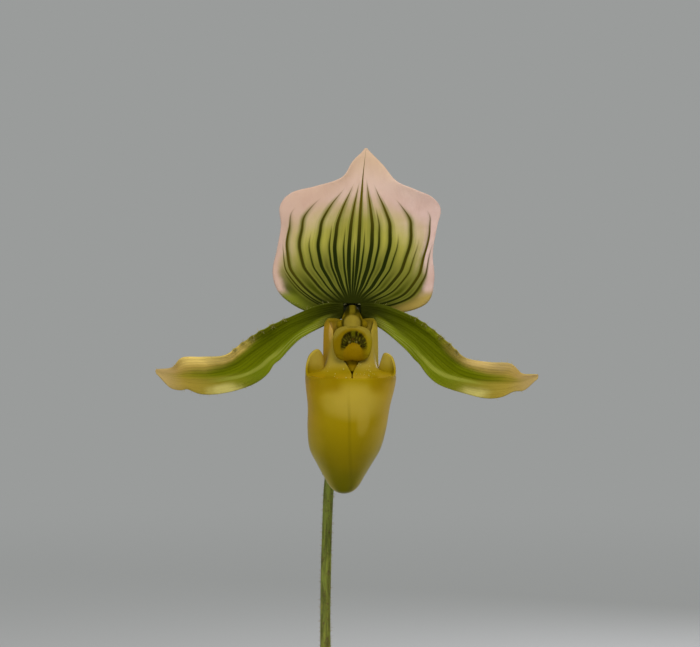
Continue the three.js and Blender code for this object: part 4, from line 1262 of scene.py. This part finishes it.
def beaded(host, beads, small, large, seed):
    """Tiny round glistening glands on the inner half of each lobe of the throat."""
    t, s, _ = marks_of(host, "lay")
    near = t.math("GREATER_THAN", -0.3) * s.math("GREATER_THAN", 0.35)
    field = {"Mesh": host, "Density": near * beads, "Seed": seed}
    scatter = host.node("GeometryNodeDistributePointsOnFaces", {"distribute_method": "RANDOM"}, field)
    gland = host.node("GeometryNodeMeshIcoSphere", {}, {"Radius": 1.0, "Subdivisions": 1})
    laid = {"Points": scatter, "Instance": gland, "Scale": chance(host, small, large, seed)}
    return dressed(host, host.node("GeometryNodeInstanceOnPoints", {}, laid), "bead", 1.0)


for side in (-1, 1):
    lobe = shell("throat_lobe", lobe_surface(side), 60, 30, lambda s, t: 0.7 + 0 * s, look)
    sprout(lobe, "glands", look, beaded, beads=3.6e5, small=0.00006, large=0.00028, seed=13)
    lobe.data.shade_smooth()
    fix(lobe, "pouch", "pouch")
fix(pouch, "pouch", "pouch")


# Column. Stamens and stigma grown into one short stout stalk, which ends in a shield: ochre, pale
# along its upper edge, with a dark green net in a horseshoe round a smooth raised lobe. An anther
# sits either side behind it.
SHIELD = {"x": 0.1, "up": -10.4, "width": 5.5, "height": 5.1, "thickness": 1.2}
SHIELD_REACH = (0.97, 1.06, 1.14, 1.06, 1, 1.02, 1.08, 1, 0.88)
STIGMA_WIDTH = (1.4, 2.1, 3, 2.6, 0.7)
ANTHER = {"x": 3.2, "ahead": 8, "up": -5, "reach": (1.35, 1.65, 1.5)}


def shield_surface(s, t):
    reach = s * (1 + (profile(SHIELD_REACH)(np.abs(t)) - 1) * s)
    x, up = np.sin(t * np.pi) * reach, np.cos(t * np.pi) * reach
    forward = 13.2 - 1.1 * up - 1.1 * x * x - 0.7 * up * up
    tongue = np.exp(-((((x - 0.06) / 0.5) ** 2 + ((up + 0.48) / 0.46) ** 2) ** 2))
    hollow = np.exp(-((((x - 0.06) / 0.55) ** 2 + ((up - 0.3) / 0.32) ** 2) ** 2))
    lip = 0.15 * smoothstep(reach, 0.72, 0.95) * (up > -0.6)
    forward = forward + 0.7 * tongue - 0.45 * hollow + lip
    right, above = SHIELD["x"] + SHIELD["width"] * x, SHIELD["up"] + SHIELD["height"] * up
    return bloom(np.stack([right, forward, above], -1))


def stigma_surface(s, t):
    line = curve(bloom([(0, 8.4, -4), (0, 9.4, -9), (0, 11.2, -14), (0, 13, -18.2)]))
    return line(s) + np.stack([t * profile(STIGMA_WIDTH)(s), 0.7 * t * t, 0 * s], -1)


look, shader, start = finish(
    "column", Roughness=0.45, Specular_IOR_Level=0.1, Specular_Tint=(1.0, 0.9, 0.1, 1.0),
    Subsurface_Weight=0.08, Subsurface_Radius=(0.8, 0.7, 0.1), Subsurface_Scale=0.0005,
)
place = start.place()
hair = start.kept("hair", "Fac")
x, ahead, up = from_bloom(place)
x, up = (x - SHIELD["x"]) / SHIELD["width"], (up - SHIELD["up"]) / SHIELD["height"]
cloud = place.noise(380, 3) - 0.5
turn = (x - 0.03).math("ARCTAN2", up + 0.35)
far = oval(x, up, (0.03, -0.35), (1, 1)) ** 0.5
rays = place.node("ShaderNodeCombineXYZ", {}, {0: turn * 3.2, 1: far * 1.3})
rays = rays.noise(2.6, 2, 0.6)
arch = (oval(x, up, (0.06, -0.1), (0.71, 0.9)) + cloud * 0.3).smooth(1.1, 0.8)
arch = arch * up.smooth(-0.42, -0.1)
tongue = (oval(x, up, (0.06, -0.68), (0.54, 0.78)) + (rays - 0.5) * 0.5).smooth(0.85, 1.05)
ochre = place.noise(260, 3).mix(tint("735d02"), tint("6a5600"))
ochre = x.smooth(0.55, 0.9).mix(ochre, tint("7c6d0a"))
lobe = oval(x, up, (0.02, -0.6), (0.54, 0.75)).smooth(1.1, 0.7)
ochre = (lobe * 0.8).mix(ochre, tint("7a5e00"))
edge = (x * x + up * up).smooth(0.62, 0.95) * up.smooth(0.1, 0.6)
ochre = (edge * 0.7).mix(ochre, tint("82742a"))
middle = abs(x - 0.04 + cloud * 0.1).smooth(0.16, 0.02) * up.smooth(0.3, 0.6)
netted = rays.smooth(0.34, 0.5).mix(tint("4a4602"), tint("140f00"))
netted = (middle * 0.6).mix(netted, tint("5c5a04"))
skin = (arch * tongue).mix(ochre, netted)
pit = oval(x, up, (0.02, 0.27), (0.1, 0.09)).smooth(1.0, 0.3)
skin = (pit * 0.7).mix(skin, tint("2c1002"))
knobs = oval(abs(x - 0.03), up, (0.18, 0.13), (0.07, 0.07)).smooth(1.2, 0.2)
skin = (knobs * 0.4).mix(skin, tint("7c7138"))
# The column's stem: a pale middle stripe along its top between dark flanks, and lower down two paler
# streaks on dark; the dark is painted shade from the petals' bases round it.
neck = abs(x + cloud * 0.05).smooth(0.08, 0.2).mix(tint("665a10"), tint("242100"))
low_neck = abs(abs(x - 0.1) - 0.19 + cloud * 0.1).smooth(0.02, 0.14)
low_neck = low_neck.mix(tint("524604"), tint("3a3200"))
neck = up.smooth(1.88, 1.62).mix(neck, low_neck)
skin = ahead.smooth(10.6, 11.4).mix(neck, skin)
# Painted light: the stigma under the shield is painted bright ochre, to make up for the shade it lies in.
skin = (up.smooth(-0.7, -1.0) * ahead.smooth(13, 12)).mix(skin, tint("a08200"))
anther = abs(x).smooth(0.36, 0.46) * ahead.smooth(5.5, 6.5) * ahead.smooth(10.5, 9.8)
skin = anther.mix(skin, tint("6f5d06"))
hair.mix(skin, tint("82701c")).feed(shader, "Base Color")
relief = rays * (arch * tongue) * 1.2 + place.noise(900, 3) * 0.5
relief.raise_on(shader, 0.35, 0.0003)
path = curve(bloom([(0, 0.75, -1.2), (0, 3.5, -1.4), (0, 7.5, -3.2), (0, 11, -6.8)]))
reach = profile([2.1, 2.1, 2.6, 3.2, 2.2])
stem = solid_of("column_stem", *stalk(path, lambda s, angle: reach(s), 50, 44), look)
even = lambda s, t: SHIELD["thickness"] * (0.35 + 0.65 * np.sqrt(1 - 0.95 * s**6))
shield = shell("column_shield", shield_surface, 60, 120, even, look, looped=True)
stigma = shell("stigma", stigma_surface, 50, 24, lambda s, t: 0.9 * (1 - 0.6 * t**4), look)
fur = {"hairs": 2e6, "long": 0.0003, "thick": 0.00002, "spread": 0.5}
sprout(shield, "fine hairs", look, hairy, **fur, rim=-1.0, seed=15)
ball = bmesh.new()
bmesh.ops.create_icosphere(ball, subdivisions=4, radius=1)
points = np.array([point.co for point in ball.verts]) * ANTHER["reach"]
faces = [[corner.index for corner in face.verts] for face in ball.faces]
ball.free()
seats = [bloom((side * ANTHER["x"], ANTHER["ahead"], ANTHER["up"])) for side in (-1, 1)]
anthers = [solid_of("anther", points + seat, faces, look) for seat in seats]
for piece in (stem, shield, stigma, *anthers):
    fix(piece, "column", "column")

sizes = {"cad": cad_box, "visual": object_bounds()}
